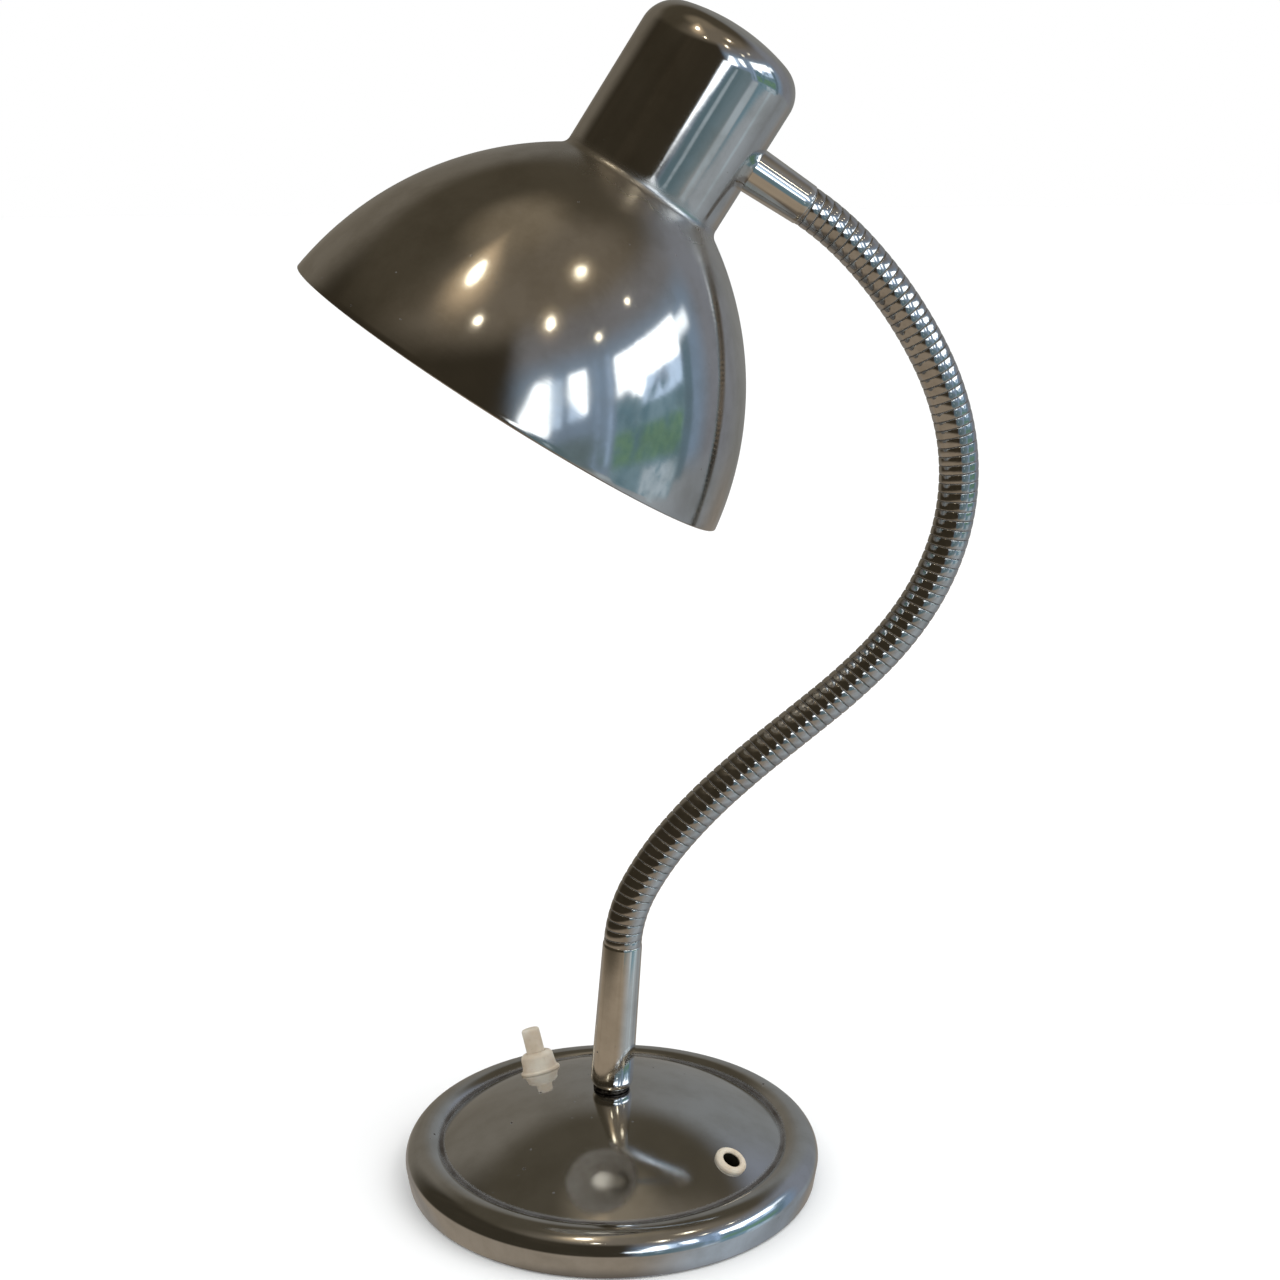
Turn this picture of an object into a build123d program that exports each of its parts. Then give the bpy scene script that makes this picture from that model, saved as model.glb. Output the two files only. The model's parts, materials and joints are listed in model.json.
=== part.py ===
from build123d import *
import os
from math import asin, atan2, cos, degrees, hypot, pi, radians, sin, sqrt, tan

# A chromed desk lamp: a round domed base, a flexible ribbed neck and a spun metal shade.
# Millimetres, +Z up. The origin is the centre of the base where it meets the table.
# The neck bends in the XZ plane and its belly points along +X.

# Clearances
seat_gap = 0.1            # between pieces that are pushed or screwed together
play = 0.08               # between pieces that slide or turn in each other
loose_gap = 0.3           # beside a piece that is only laid in place
overcut = 1.0             # a hole is cut this far past its mouths

# Base cover, pressed from sheet
base_radius = 72.0
cover_wall = 1.0
cover_lift = 0.4          # the turned lip stays this far above the table
lip_radius = 68.7         # the lip is turned inwards to here
side_flare = 1.1          # the side leans out by this much between lip and bead
bead_height = 15.4
bead_outer_roll = 7.5
bead_inner_roll = 5.9
dome_height = 31.6
dome_curve = 105.4        # radius of the shallow dome inside the bead

# Under the cover
felt_thickness = 1.4
plate_thickness = 1.2
weight_rise = 3.6         # height of the weight's straight side
weight_slope = 3.0        # its flat top starts this far outside the crease
weight_pocket_gap = 5.0   # round the switch's housing
screw_radius = 1.9
screw_head_radius = 3.6
screw_circle = 52.0
screw_length = 7.5
screw_count = 3
first_screw_angle = 10.0

# Stem
nipple_radius = 4.9
nipple_bore = 3.5
nipple_up = 13.0          # thread inside a ferrule
nut_across = 14.0
nut_thickness = 2.8
washer_radius = 11.0
washer_thickness = 1.6
thread_end = 0.6          # a nipple stands this far out of its nut
foot_ring_radius = 6.3
foot_ring_height = 1.2
stem_lean = 4.6           # degrees, towards +X
ferrule_length = 52.8
ferrule_foot_radius = 6.1
ferrule_wide_radius = 7.4
ferrule_foot_height = 3.2
ferrule_foot_round = 0.4  # the foot draws in by this much
head_nipple_up = 9.1      # thread of the cap's nipple inside its ferrule
ferrule_mouth_radius = 6.7

# Flexible neck: lengths of ribbed tube, joined by hollow balls
neck_radius = 6.5
rib_depth = 0.9
rib_pitch = 3.13
rib_flank = 0.2
ribs_per_length = 7
neck_bore = 4.7
neck_turns = (-24.7, -11.6, -7.0, -4.1, 0.5, 6.3, 11.7, 14.9, 16.5, 16.4, 13.1, 8.5, 8.3, 12.8)
hinge_swing = 12.0        # degrees each way between two lengths
ball_height = 2.6         # the ball reaches this far into the next length
ball_root = 4.0           # and this far down its own length
ball_bore = 3.0
tail_length = 10.0        # plain tube inside a ferrule
bore_steps = 8            # straight stretches that follow each length's bend

# Inner flex
flex_radius = 2.3
flex_bend = 10.0
flex_ease = 120.0         # bend where the stem starts to lean
flex_end = 6.0            # the flex stops this far from the shade's axis
core_radius = 1.0
core_offset = 1.15
core_straight = 3.5
core_bends = (2.2, 3.5)

# Shade, spun in one piece, measured along its axis from the rim
shade_wall = 0.8
dome_arc = 108.5
dome_arc_back = 15.7      # the arc's centre is this far behind the rim
dome_arc_side = 30.2      # and this far past the axis
cap_radius = 26.8
cap_height = 133.8
cap_corner = 11.0
cap_crown = 65.0
throat_fillet = 3.2
hem_height = 1.8
hem_depth = 0.7
hem_round = 0.42
entry_height = 100.5      # the neck enters the cap here
upper_reach = 20.0        # visible length of the upper ferrule

# Lampholder and bulb
bracket_thickness = 1.2
bracket_width = 14.0
bracket_tail = 12.0
bracket_rise = 8.5
holder_radius = 18.0
holder_length = 36.0
holder_top_thickness = 6.8
holder_shoulder = 3.0
holder_edge = 1.0
contact_thickness = 0.6
contact_width = 6.0
contact_inset = 2.0
thread_radius = 13.3      # inside of the screw shell
shell_thickness = 0.5
shell_length = 25.0
terminal_radius = 2.2
terminal_height = 3.4
terminal_offset = 9.5
holder_screw_offset = 8.0
holder_screw_radius = 1.5
holder_screw_length = 5.0
holder_screw_head_radius = 2.7
holder_screw_head_height = 1.6
bulb_radius = 22.5
bulb_length = 78.0
bulb_cap_radius = 13.1
bulb_cap_length = 22.0
bulb_thread_pitch = 3.6
bulb_thread_depth = 0.7
bulb_thread_start = 4.5
bulb_cap_chamfer = 1.2
bulb_cap_wall = 0.5
bulb_tip_radius = 4.5
bulb_tip_height = 1.2
bulb_cone_height = 2.6
glass_neck_radius = 12.2
glass_wall = 0.8
glass_neck_straight = 2.0 # of the glass below the cap's edge
glass_neck_depth = 12.0   # of the glass inside the cap

# Push switch, standing square on the dome
switch_circle = 36.9
switch_angle = 128.0
switch_flange_radius = 7.1
switch_flange_height = 1.2
switch_collar_radius = 5.8
switch_collar_height = 7.0
switch_shank_radius = 4.9
switch_shank_length = 7.0
plunger_radius = 3.25
plunger_height = 8.6      # above the collar
plunger_travel = 3.0
plunger_round = 0.7
collar_round = 0.8
switch_body_radius = 6.5
switch_cavity_radius = 4.6
switch_floor = 2.0
shoulder_height = 1.2
bridge_thickness = 0.8
spring_wire = 0.35        # radius
spring_turns = 5
spring_radius = 3.4
pin_radius = 1.2
pin_reach = 3.0
pin_root = 0.6            # of a pin inside the housing's wall
pin_spacing = 6.0
pin_depth = 11.0
small_nut_thickness = 2.4

# Cord inlet in the dome
inlet_circle = 50.0
inlet_angle = -43.4
inlet_radius = 5.5
inlet_height = 1.6
inlet_bore = 3.05
inlet_shank_radius = 4.4
inlet_shank_length = 6.0
inlet_nut_across = 11.0
inlet_round = 0.95

# Terminal block
block_angle = 45.0
block_circle = 30.0
block_size = (16.0, 22.0, 10.0)
block_screw_radius = 1.6
block_screw_depth = 4.0
block_screw_spacing = (8.0, 12.0)

# Leads of the switch
lead_reach = 9.0          # straight out of a pin or the block
lead_bend = 6.0
lead_gap = 3.0            # from the block's middle
lead_height = 4.8         # above the weight

# Values that follow from the ones above
felt_radius = lip_radius - loose_gap
plate_bottom = felt_thickness
plate_radius = base_radius - side_flare - cover_wall
weight_bottom = plate_bottom + plate_thickness
dome_centre = dome_height - dome_curve
root_radius = neck_radius - rib_depth
ball_radius = neck_bore - seat_gap
hinge_gap = 2 * root_radius * tan(radians(hinge_swing / 2)) + seat_gap
length_span = rib_pitch * ribs_per_length
tail_radius = root_radius - loose_gap
ferrule_bore = tail_radius + seat_gap
crest_radius = base_radius - bead_outer_roll
cap_inner = cap_radius - shade_wall
spring_closed = (spring_turns + 1) * 2 * spring_wire
bracket_face = sqrt(cap_inner ** 2 - (bracket_width / 2) ** 2) - seat_gap / 2
nut_face = bracket_face - bracket_thickness
bracket_low = entry_height - nut_across / 2 / cos(pi / 6) - bracket_thickness - loose_gap
holder_top = bracket_low
holder_mouth = holder_top - holder_length
disc_under = holder_top - holder_top_thickness
switch_body_length = (loose_gap + shoulder_height + bridge_thickness + plunger_travel + spring_closed
                      + switch_floor)
bulb_top = disc_under - contact_thickness - seat_gap


def arc(centre, radius, start, end):
    """An arc about a centre, between two angles in degrees."""
    middle = (start + end) / 2
    points = [(centre[0] + radius * cos(radians(a)), centre[1] + radius * sin(radians(a)))
              for a in (start, middle, end)]
    return ThreePointArc(*points)


def angle_at(centre, point):
    """Direction from a centre to a point, in degrees."""
    return degrees(atan2(point[1] - centre[1], point[0] - centre[0]))


def closed(edges):
    """Join a chain of edges with straight lines into one face in the XZ plane."""
    chain = []
    for edge, following in zip(edges, edges[1:] + edges[:1]):
        chain.append(edge)
        if (edge @ 1 - following @ 0).length > 1e-6:
            chain.append(Line(edge @ 1, following @ 0))
    return Plane.XZ * make_face(chain)


def turned(edges):
    """A solid of revolution about Z from an outline of radius and height."""
    return revolve(closed(edges), Axis.Z)


def turned_points(*points):
    """A solid of revolution from a polygon of radius and height."""
    return revolve(Plane.XZ * make_face(Polyline(*points, close=True)), Axis.Z)


def tube(outer, inner, low, high):
    """A plain tube about Z."""
    return turned_points((inner, low), (outer, low), (outer, high), (inner, high))


def rod(radius, low, high):
    """A plain cylinder about Z."""
    return Pos(0, 0, low) * Cylinder(radius, high - low, align=(Align.CENTER, Align.CENTER, Align.MIN))


def hex_nut(across, bore, low, high):
    """A hexagonal nut about Z."""
    body = extrude(RegularPolygon(across / 2, 6, major_radius=False), high - low)
    return Pos(0, 0, low) * body - rod(bore, low - overcut, high + overcut)


def square_to_dome(circle, angle):
    """The frame of a fitting that stands square on the dome, its X axis along the dome's circle."""
    tilt = asin(circle / dome_curve)
    a = radians(angle)
    normal = Vector(sin(tilt) * cos(a), sin(tilt) * sin(a), cos(tilt))
    origin = Vector(0, 0, dome_centre) + normal * dome_curve
    return Plane(origin=origin, x_dir=(sin(a), -cos(a), 0), z_dir=normal)


def dome_sag(radius, depth=0.0):
    """How far the dome falls away at a radius round a fitting, on its top or a depth below it."""
    curve = dome_curve - depth
    return depth + curve - sqrt(curve ** 2 - radius ** 2)


switch_frame = square_to_dome(switch_circle, switch_angle)
inlet_frame = square_to_dome(inlet_circle, inlet_angle)
stem_foot = Vector(0, 0, dome_height + foot_ring_height)
stem_frame = Plane(origin=stem_foot, x_dir=(0, 1, 0),
                   z_dir=(sin(radians(stem_lean)), 0, cos(radians(stem_lean))))


def neck_frames():
    """The frame at the start of each neck length and at the end of the last, Z along the neck."""
    point = stem_foot + stem_frame.z_dir * ferrule_length
    heading = 90.0 - stem_lean
    frames = [upright(point, heading)]
    for turn in neck_turns:
        chord = length_span
        if abs(turn) > 1e-6:
            chord = 2 * length_span / radians(turn) * sin(radians(turn) / 2)
        middle = radians(heading + turn / 2)
        point = point + Vector(cos(middle), 0, sin(middle)) * chord
        heading += turn
        frames.append(upright(point, heading))
    return frames


def upright(point, heading):
    """A frame in the neck's plane, Z along the heading and X steadily along +Y."""
    a = radians(heading)
    return Plane(origin=point, x_dir=(0, 1, 0), z_dir=(cos(a), 0, sin(a)))


def along(index, distance):
    """The frame a distance up one neck length, on its arc."""
    start = frames[index]
    turn = neck_turns[index] * distance / length_span
    heading = 90.0 - stem_lean + sum(neck_turns[:index])
    chord = distance
    if abs(turn) > 1e-6:
        chord = 2 * distance / radians(turn) * sin(radians(turn) / 2)
    middle = radians(heading + turn / 2)
    return upright(start.origin + Vector(cos(middle), 0, sin(middle)) * chord, heading + turn)


frames = neck_frames()
neck_end = frames[-1]
# The shade's frame: Z along its axis, away from the rim, and X towards the neck.
shade_axis = Vector(neck_end.z_dir.Z, 0, -neck_end.z_dir.X)
rim_centre = neck_end.origin + neck_end.z_dir * (upper_reach + cap_radius) - shade_axis * entry_height
shade_frame = Plane(origin=rim_centre, x_dir=neck_end.z_dir * -1, z_dir=shade_axis)
# The neck's entry, seen from the cap: Z points outwards along the neck.
entry_frame = Plane(origin=rim_centre + shade_axis * entry_height, x_dir=(0, 1, 0),
                    z_dir=neck_end.z_dir * -1)


def crease(depth):
    """Where the bead's inner side meets the dome, for the outside or a depth inside the sheet."""
    ring = (crest_radius, bead_height - bead_inner_roll)
    ball = (0.0, dome_centre)
    r1, r2 = bead_inner_roll - depth, dome_curve - depth
    gap = hypot(ring[0] - ball[0], ring[1] - ball[1])
    ux, uz = (ring[0] - ball[0]) / gap, (ring[1] - ball[1]) / gap
    reach = (r2 ** 2 - r1 ** 2 + gap ** 2) / (2 * gap)
    across = sqrt(r2 ** 2 - reach ** 2)
    return ball[0] + ux * reach - uz * across, ball[1] + uz * reach + ux * across


weight_top = crease(cover_wall)[1] - seat_gap


def cover_outline(depth):
    """The cover's outside, or its inside at a depth, from the lip to the dome's hole."""
    shoulder = bead_height - bead_outer_roll
    ring = (crest_radius, bead_height - bead_inner_roll)
    ball = (0.0, dome_centre)
    corner = crease(depth)
    hole = nipple_radius + seat_gap
    top = (hole, dome_centre + sqrt((dome_curve - depth) ** 2 - hole ** 2))
    side = Line((base_radius - side_flare - depth, cover_lift + depth), (base_radius - depth, shoulder))
    return [side,
            arc((crest_radius, shoulder), bead_outer_roll - depth, 0, 90),
            arc(ring, bead_inner_roll - depth, 90, 180 - degrees(asin((corner[1] - ring[1])
                                                                     / (bead_inner_roll - depth)))),
            arc(ball, dome_curve - depth, angle_at(ball, corner), angle_at(ball, top))]


def base_cover():
    outside = cover_outline(0.0)
    inside = cover_outline(cover_wall)
    lip = Line((lip_radius, cover_lift), outside[0] @ 0)
    lip_back = Line(inside[0] @ 0, (lip_radius, cover_lift + cover_wall - seat_gap / 2))
    back = [reversed_edge(edge) for edge in reversed(inside)]
    shell = turned([lip] + outside + back + [lip_back])
    cut = dome_sag(inlet_radius, cover_wall) + overcut
    shell -= switch_frame * rod(switch_shank_radius + seat_gap, -cut, cut)
    shell -= inlet_frame * rod(inlet_shank_radius + seat_gap, -cut, cut)
    return shell


def reversed_edge(edge):
    """The same line or arc, drawn the other way."""
    if edge.geom_type == GeomType.LINE:
        return Line(edge @ 1, edge @ 0)
    return ThreePointArc(edge @ 1, edge @ 0.5, edge @ 0)


def screw_places():
    """The places of the screws in the bottom plate."""
    for k in range(screw_count):
        a = radians(first_screw_angle + 360 / screw_count * k)
        yield Pos(screw_circle * cos(a), screw_circle * sin(a), 0)


def bottom_screw(clearance=0.0):
    """One countersunk screw, its head flush with the plate's underside."""
    top = plate_bottom + screw_length + clearance
    shank = screw_radius + clearance
    head = screw_head_radius + clearance
    cone_top = plate_bottom + screw_head_radius - screw_radius
    return turned_points((0, plate_bottom), (head, plate_bottom), (shank, cone_top), (shank, top), (0, top))


def base_weight():
    """A cast iron disc, laid inside the cover on the bottom plate."""
    outer = plate_radius - loose_gap
    top_radius = crease(cover_wall)[0] + weight_slope
    body = turned_points((0, weight_bottom), (outer, weight_bottom), (outer, weight_bottom + weight_rise),
                         (top_radius, weight_top), (0, weight_top))
    pocket = switch_frame.origin - switch_frame.z_dir * (switch_shank_length + switch_body_length)
    body -= Pos(pocket.X, pocket.Y, 0) * rod(switch_body_radius + weight_pocket_gap, 0,
                                             weight_top + overcut)
    for place in screw_places():
        body -= place * bottom_screw(seat_gap)
    return body


def bottom_plate():
    plate = rod(plate_radius - loose_gap / 2, plate_bottom, weight_bottom)
    for place in screw_places():
        plate -= place * bottom_screw(seat_gap)
    return plate


def bottom_screws():
    return Compound([place * bottom_screw() for place in screw_places()])


def stem_parts():
    """The threaded nipple with the washer and nut that clamp the stem to the dome."""
    under = dome_height - dome_sag(washer_radius, cover_wall) - seat_gap / 2
    washer = tube(washer_radius, nipple_radius + seat_gap, under - washer_thickness, under)
    nut_low = under - washer_thickness - nut_thickness
    nut = hex_nut(nut_across, nipple_radius + play, nut_low, under - washer_thickness)
    nipple = tube(nipple_radius, nipple_bore, nut_low - thread_end, stem_foot.Z + nipple_up)
    ring = tube(foot_ring_radius, nipple_radius + seat_gap, dome_height, stem_foot.Z)
    return {"stem_washer": washer, "stem_nut": nut, "stem_nipple": nipple, "foot_ring": ring}


def lower_ferrule():
    """A tapered sleeve that leans a little, with a rounded foot cut level."""
    wide = (ferrule_wide_radius, ferrule_foot_height)
    inner = ferrule_foot_radius - ferrule_foot_round
    foot = Line((0, -overcut), (inner, -overcut))
    bulge = ThreePointArc((inner, -overcut),
                          (ferrule_wide_radius - ferrule_foot_round, ferrule_foot_height / 3), wide)
    mouth = Line((ferrule_mouth_radius, ferrule_length), (0, ferrule_length))
    body = stem_frame * turned([foot, bulge, mouth])
    body -= stem_frame * rod(ferrule_bore, nipple_up + overcut, ferrule_length + overcut)
    body -= Pos(stem_foot) * rod(nipple_radius + play, -2 * overcut, nipple_up + 2 * overcut)
    below = stem_foot.Z
    return body - rod(2 * ferrule_wide_radius, 0, below)


def neck_length(index):
    """One length of the neck: ribs outside, a bore, and a hollow ball that the next length turns on."""
    last = len(neck_turns) - 1
    sections = []
    for rib in range(ribs_per_length):
        start = rib * rib_pitch
        edge = hinge_gap / 2
        for distance, radius in ((edge, root_radius), (edge + rib_flank, neck_radius),
                                 (rib_pitch - edge - rib_flank, neck_radius),
                                 (rib_pitch - edge, root_radius)):
            sections.append(along(index, start + distance) * Circle(radius))
    body = loft(sections, ruled=True)
    stops = [along(index, length_span * k / bore_steps) for k in range(1, bore_steps)]
    first = frames[index].offset(-2 * play)
    final = frames[index + 1].offset(2 * play)
    if index == 0:
        body += frames[0] * rod(tail_radius, -tail_length, hinge_gap)
        first = frames[0].offset(-tail_length - overcut)
        stops.insert(0, frames[0])
    if index == last:
        body += frames[-1] * rod(tail_radius, -hinge_gap, tail_length)
        final = frames[-1].offset(tail_length + overcut)
        stops.append(frames[-1])
    body -= loft([stop * Circle(neck_bore) for stop in [first] + stops + [final]], ruled=True)
    if index < last:
        body += frames[index + 1] * ball_spigot()
    return body


def ball_spigot():
    """The hollow ball about a hinge, rooted in the bore of the length below."""
    low = -hinge_gap / 2
    waist = sqrt(ball_radius ** 2 - low ** 2)
    top = sqrt(ball_radius ** 2 - ball_height ** 2)
    root = neck_bore + loose_gap
    outline = [Line((ball_bore, -ball_root), (root, -ball_root)), Line((root, -ball_root), (root, low)),
               Line((root, low), (waist, low)),
               ThreePointArc((waist, low), (ball_radius, 0), (top, ball_height)),
               Line((top, ball_height), (ball_bore, ball_height))]
    return turned(outline)


def upper_ferrule():
    """The short tapered sleeve between neck and cap, saddled on the cap."""
    far = cap_radius + upper_reach
    near = cap_radius - overcut
    body = turned_points((0, near), (ferrule_wide_radius, near), (ferrule_mouth_radius, far), (0, far))
    body -= rod(nipple_radius + play, 0, cap_radius + head_nipple_up + seat_gap)
    body -= rod(ferrule_bore, far - tail_length - seat_gap, far + overcut)
    body -= rod(nipple_bore, 0, far + overcut)
    half = ferrule_wide_radius + overcut
    saddle = shade_frame * rod(cap_radius + play, entry_height - half, entry_height + half)
    return entry_frame * body - saddle


def shade_outline(depth):
    """The shade's outside, or its inside at a depth, from the rim to the crown."""
    ball = (-dome_arc_side, -dome_arc_back)
    r1 = dome_arc - depth
    rim = (ball[0] + sqrt(r1 ** 2 - dome_arc_back ** 2), 0.0)
    throat_x = cap_radius + throat_fillet
    throat_z = ball[1] + sqrt((dome_arc + throat_fillet) ** 2 - (throat_x - ball[0]) ** 2)
    meet = degrees(asin((throat_z - ball[1]) / (dome_arc + throat_fillet)))
    crown_z = cap_height - cap_crown
    corner_x = cap_radius - cap_corner
    corner_z = crown_z + sqrt((cap_crown - cap_corner) ** 2 - corner_x ** 2)
    lift = degrees(asin((corner_z - crown_z) / (cap_crown - cap_corner)))
    return [arc(ball, r1, degrees(asin(-ball[1] / r1)), meet),
            arc((throat_x, throat_z), throat_fillet + depth, 180 + meet, 180),
            Line((cap_radius - depth, throat_z), (cap_radius - depth, corner_z)),
            arc((corner_x, corner_z), cap_corner - depth, 0, lift),
            arc((0, crown_z), cap_crown - depth, lift, 90)]


def shade():
    outside = shade_outline(0.0)
    inside = shade_outline(shade_wall)
    back = [reversed_edge(edge) for edge in reversed(inside)]
    shell = turned(outside + back)
    rim = (inside[0] @ 0).X
    hem = tube(rim + shade_wall / 2, rim - hem_depth, 0, hem_height)
    hem = fillet(hem.edges().filter_by(GeomType.CIRCLE).group_by(SortBy.RADIUS)[0], hem_round)
    shell += hem
    shell = shade_frame * shell
    return shell - entry_frame * rod(nipple_radius + seat_gap, nut_face, cap_radius + overcut)


def head_nipple_parts():
    """The nipple through the cap's side, with the nut that clamps bracket, cap and ferrule."""
    inner = nut_face - nut_thickness
    nipple = tube(nipple_radius, nipple_bore, inner - thread_end, cap_radius + head_nipple_up)
    nut = hex_nut(nut_across, nipple_radius + play, inner, nut_face)
    return {"holder_nipple": entry_frame * nipple, "nipple_nut": entry_frame * nut}


def box_between(low, high):
    """A box from its lowest to its highest corner."""
    size = [b - a for a, b in zip(low, high)]
    return Pos(*low) * Box(*size, align=(Align.MIN, Align.MIN, Align.MIN))


def holder_bracket():
    """An angle strap: one leg on the cap's wall, the other across the top of the holder."""
    half = bracket_width / 2
    leg = box_between((nut_face, -half, bracket_low), (bracket_face, half, entry_height + bracket_rise))
    arm = box_between((-bracket_tail, -half, bracket_low), (bracket_face, half,
                                                          bracket_low + bracket_thickness))
    strap = shade_frame * (leg + arm)
    strap -= entry_frame * rod(nipple_radius + seat_gap, nut_face - overcut, bracket_face + overcut)
    for side in (-1, 1):
        strap -= shade_frame * Pos(side * holder_screw_offset, 0, 0) * rod(
            holder_screw_radius + seat_gap, bracket_low - overcut, bracket_low + bracket_thickness + overcut)
    return strap


def holder_screws():
    """Two screws through the bracket's arm into the holder."""
    head_low = bracket_low + bracket_thickness
    screw = rod(holder_screw_radius, holder_top - holder_screw_length, head_low)
    screw += rod(holder_screw_head_radius, head_low, head_low + holder_screw_head_height)
    return Compound([shade_frame * Pos(side * holder_screw_offset, 0, 0) * screw for side in (-1, 1)])


def holder_terminals():
    """Two brass posts on top of the holder, beside the bracket."""
    post = rod(terminal_radius, holder_top, holder_top + terminal_height)
    return Compound([shade_frame * Pos(0, side * terminal_offset, 0) * post for side in (-1, 1)])


def holder_body():
    """The porcelain body round the screw shell, with a rounded shoulder."""
    bore = thread_radius + shell_thickness + seat_gap
    ring = (holder_radius - holder_shoulder, holder_top - holder_shoulder)
    outside = [Line((bore, holder_mouth), (holder_radius - holder_edge, holder_mouth)),
               Line((holder_radius, holder_mouth + holder_edge), (holder_radius, ring[1])),
               arc(ring, holder_shoulder, 0, 90),
               Line((0, holder_top), (0, disc_under)),
               Line((0, disc_under), (bore, disc_under))]
    body = turned(outside)
    for side in (-1, 1):
        body -= Pos(side * holder_screw_offset, 0, 0) * rod(holder_screw_radius + seat_gap,
                                                            holder_top - holder_screw_length - seat_gap,
                                                            holder_top + overcut)
    return shade_frame * body


def holder_shell():
    """The brass screw shell, seated under the holder's disc."""
    inner = thread_radius
    return shade_frame * tube(inner + shell_thickness, inner, disc_under - shell_length, disc_under)


def holder_contact():
    """The springy centre contact under the disc."""
    half = thread_radius - contact_inset
    return shade_frame * box_between((-half, -contact_width / 2, disc_under - contact_thickness),
                                     (half, contact_width / 2, disc_under))


def bulb_parts():
    """A small round bulb with its screw cap and its centre contact."""
    cap_top = bulb_top - bulb_tip_height - bulb_cone_height
    cap_low = cap_top - bulb_cap_length
    ridge = [(glass_neck_radius, cap_low), (bulb_cap_radius, cap_low)]
    turns = int((bulb_cap_length - bulb_thread_start - bulb_cap_wall) / bulb_thread_pitch)
    for k in range(turns):
        z = cap_low + bulb_thread_start + k * bulb_thread_pitch
        ridge += [(bulb_cap_radius - bulb_thread_depth, z), (bulb_cap_radius, z + bulb_thread_pitch / 2)]
    ridge += [(bulb_cap_radius - bulb_cap_chamfer, cap_top), (0, cap_top)]
    ridge += [(0, cap_top - bulb_cap_wall), (glass_neck_radius, cap_top - bulb_cap_wall - overcut)]
    cap = turned_points(*ridge)
    tip = turned_points((0, cap_top), (2 * bulb_tip_radius, cap_top),
                        (bulb_tip_radius, cap_top + bulb_cone_height),
                        (bulb_tip_radius - bulb_tip_height, bulb_top), (0, bulb_top))
    centre = bulb_top - bulb_length + bulb_radius
    glass = glass_solid(0.0, centre, cap_low) - glass_solid(glass_wall, centre, cap_low)
    return {"bulb_cap": shade_frame * cap, "bulb_contact": shade_frame * tip,
            "bulb_glass": shade_frame * glass}


def glass_solid(depth, centre, cap_low):
    """The bulb's outside, or its hollow at a depth: a ball that runs into its neck."""
    ball = bulb_radius - depth
    neck = glass_neck_radius - seat_gap - depth
    blend = cap_low - glass_neck_straight
    rise = blend - centre
    # The throat is an arc tangent to the ball and to the straight neck.
    sweep = (rise ** 2 + neck ** 2 - ball ** 2) / (2 * (ball - neck)) if ball > neck else 1.0
    throat = (neck + sweep, blend)
    share = ball / (ball + sweep)
    touch = (throat[0] * share, centre + rise * share)
    low = ThreePointArc((0, centre - ball), (ball, centre), touch)
    angle = degrees(asin((blend - touch[1]) / sweep))
    neck_arc = arc(throat, sweep, 180 + angle, 180)
    top = cap_low + glass_neck_depth - depth
    return turned([low, neck_arc, Line((neck, blend), (neck, top)), Line((neck, top), (0, top))])


def lamp_leads():
    """The two cores of the flex, from its cut end to the holder's posts."""
    cores = []
    post_top = holder_top + terminal_height
    for side in (-1, 1):
        points = [(flex_end, side * core_offset, entry_height),
                  (flex_end - core_straight, side * core_offset, entry_height),
                  (0.0, side * terminal_offset, entry_height), (0.0, side * terminal_offset, post_top)]
        cores.append(shade_frame * swept(points, core_bends, core_radius))
    return Compound(cores)


def swept(points, radii, radius):
    """A round wire along straight runs joined by tangent arcs."""
    path = FilletPolyline(*points, radius=list(radii))
    start = Plane(origin=path @ 0, z_dir=path % 0)
    return sweep(start * Circle(radius), path=path)


def neck_flex():
    """The two-core flex that runs unbroken from the terminal block through the neck to the cap."""
    a = radians(block_angle)
    entry = block_circle - block_size[0] / 2
    level = weight_top + block_size[2] / 2
    lead = FilletPolyline((entry * cos(a), entry * sin(a), level), (0, 0, level), tuple(stem_foot),
                          tuple(frames[0].origin), radius=[flex_bend, flex_ease])
    edges = list(lead.edges())
    for index in range(len(neck_turns)):
        stops = [along(index, length_span * share).origin for share in (0, 0.5, 1)]
        edges.append(ThreePointArc(*stops))
    edges.append(Line(neck_end.origin, entry_frame.origin + entry_frame.z_dir * flex_end))
    path = Wire(edges)
    start = Plane(origin=path @ 0, z_dir=path % 0)
    flex = sweep(start * Circle(flex_radius), path=path)
    expected = pi * flex_radius ** 2 * path.length
    print("flex length %.1f mm, volume ratio %.4f" % (path.length, flex.volume / expected))
    return flex


def plunger_parts():
    """The push button and the bridge that it carries, in the switch's own frame."""
    stop = -switch_shank_length - loose_gap
    shoulder = switch_cavity_radius - loose_gap
    tip = switch_collar_height + plunger_height
    button = rod(plunger_radius, stop - shoulder_height, tip)
    button = fillet(button.edges().sort_by(Axis.Z)[-1], plunger_round)
    button += rod(shoulder, stop - shoulder_height, stop)
    under = stop - shoulder_height
    bridge = rod(shoulder, under - bridge_thickness, under)
    return {"switch_plunger": switch_frame * button, "contact_bridge": switch_frame * bridge}


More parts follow.
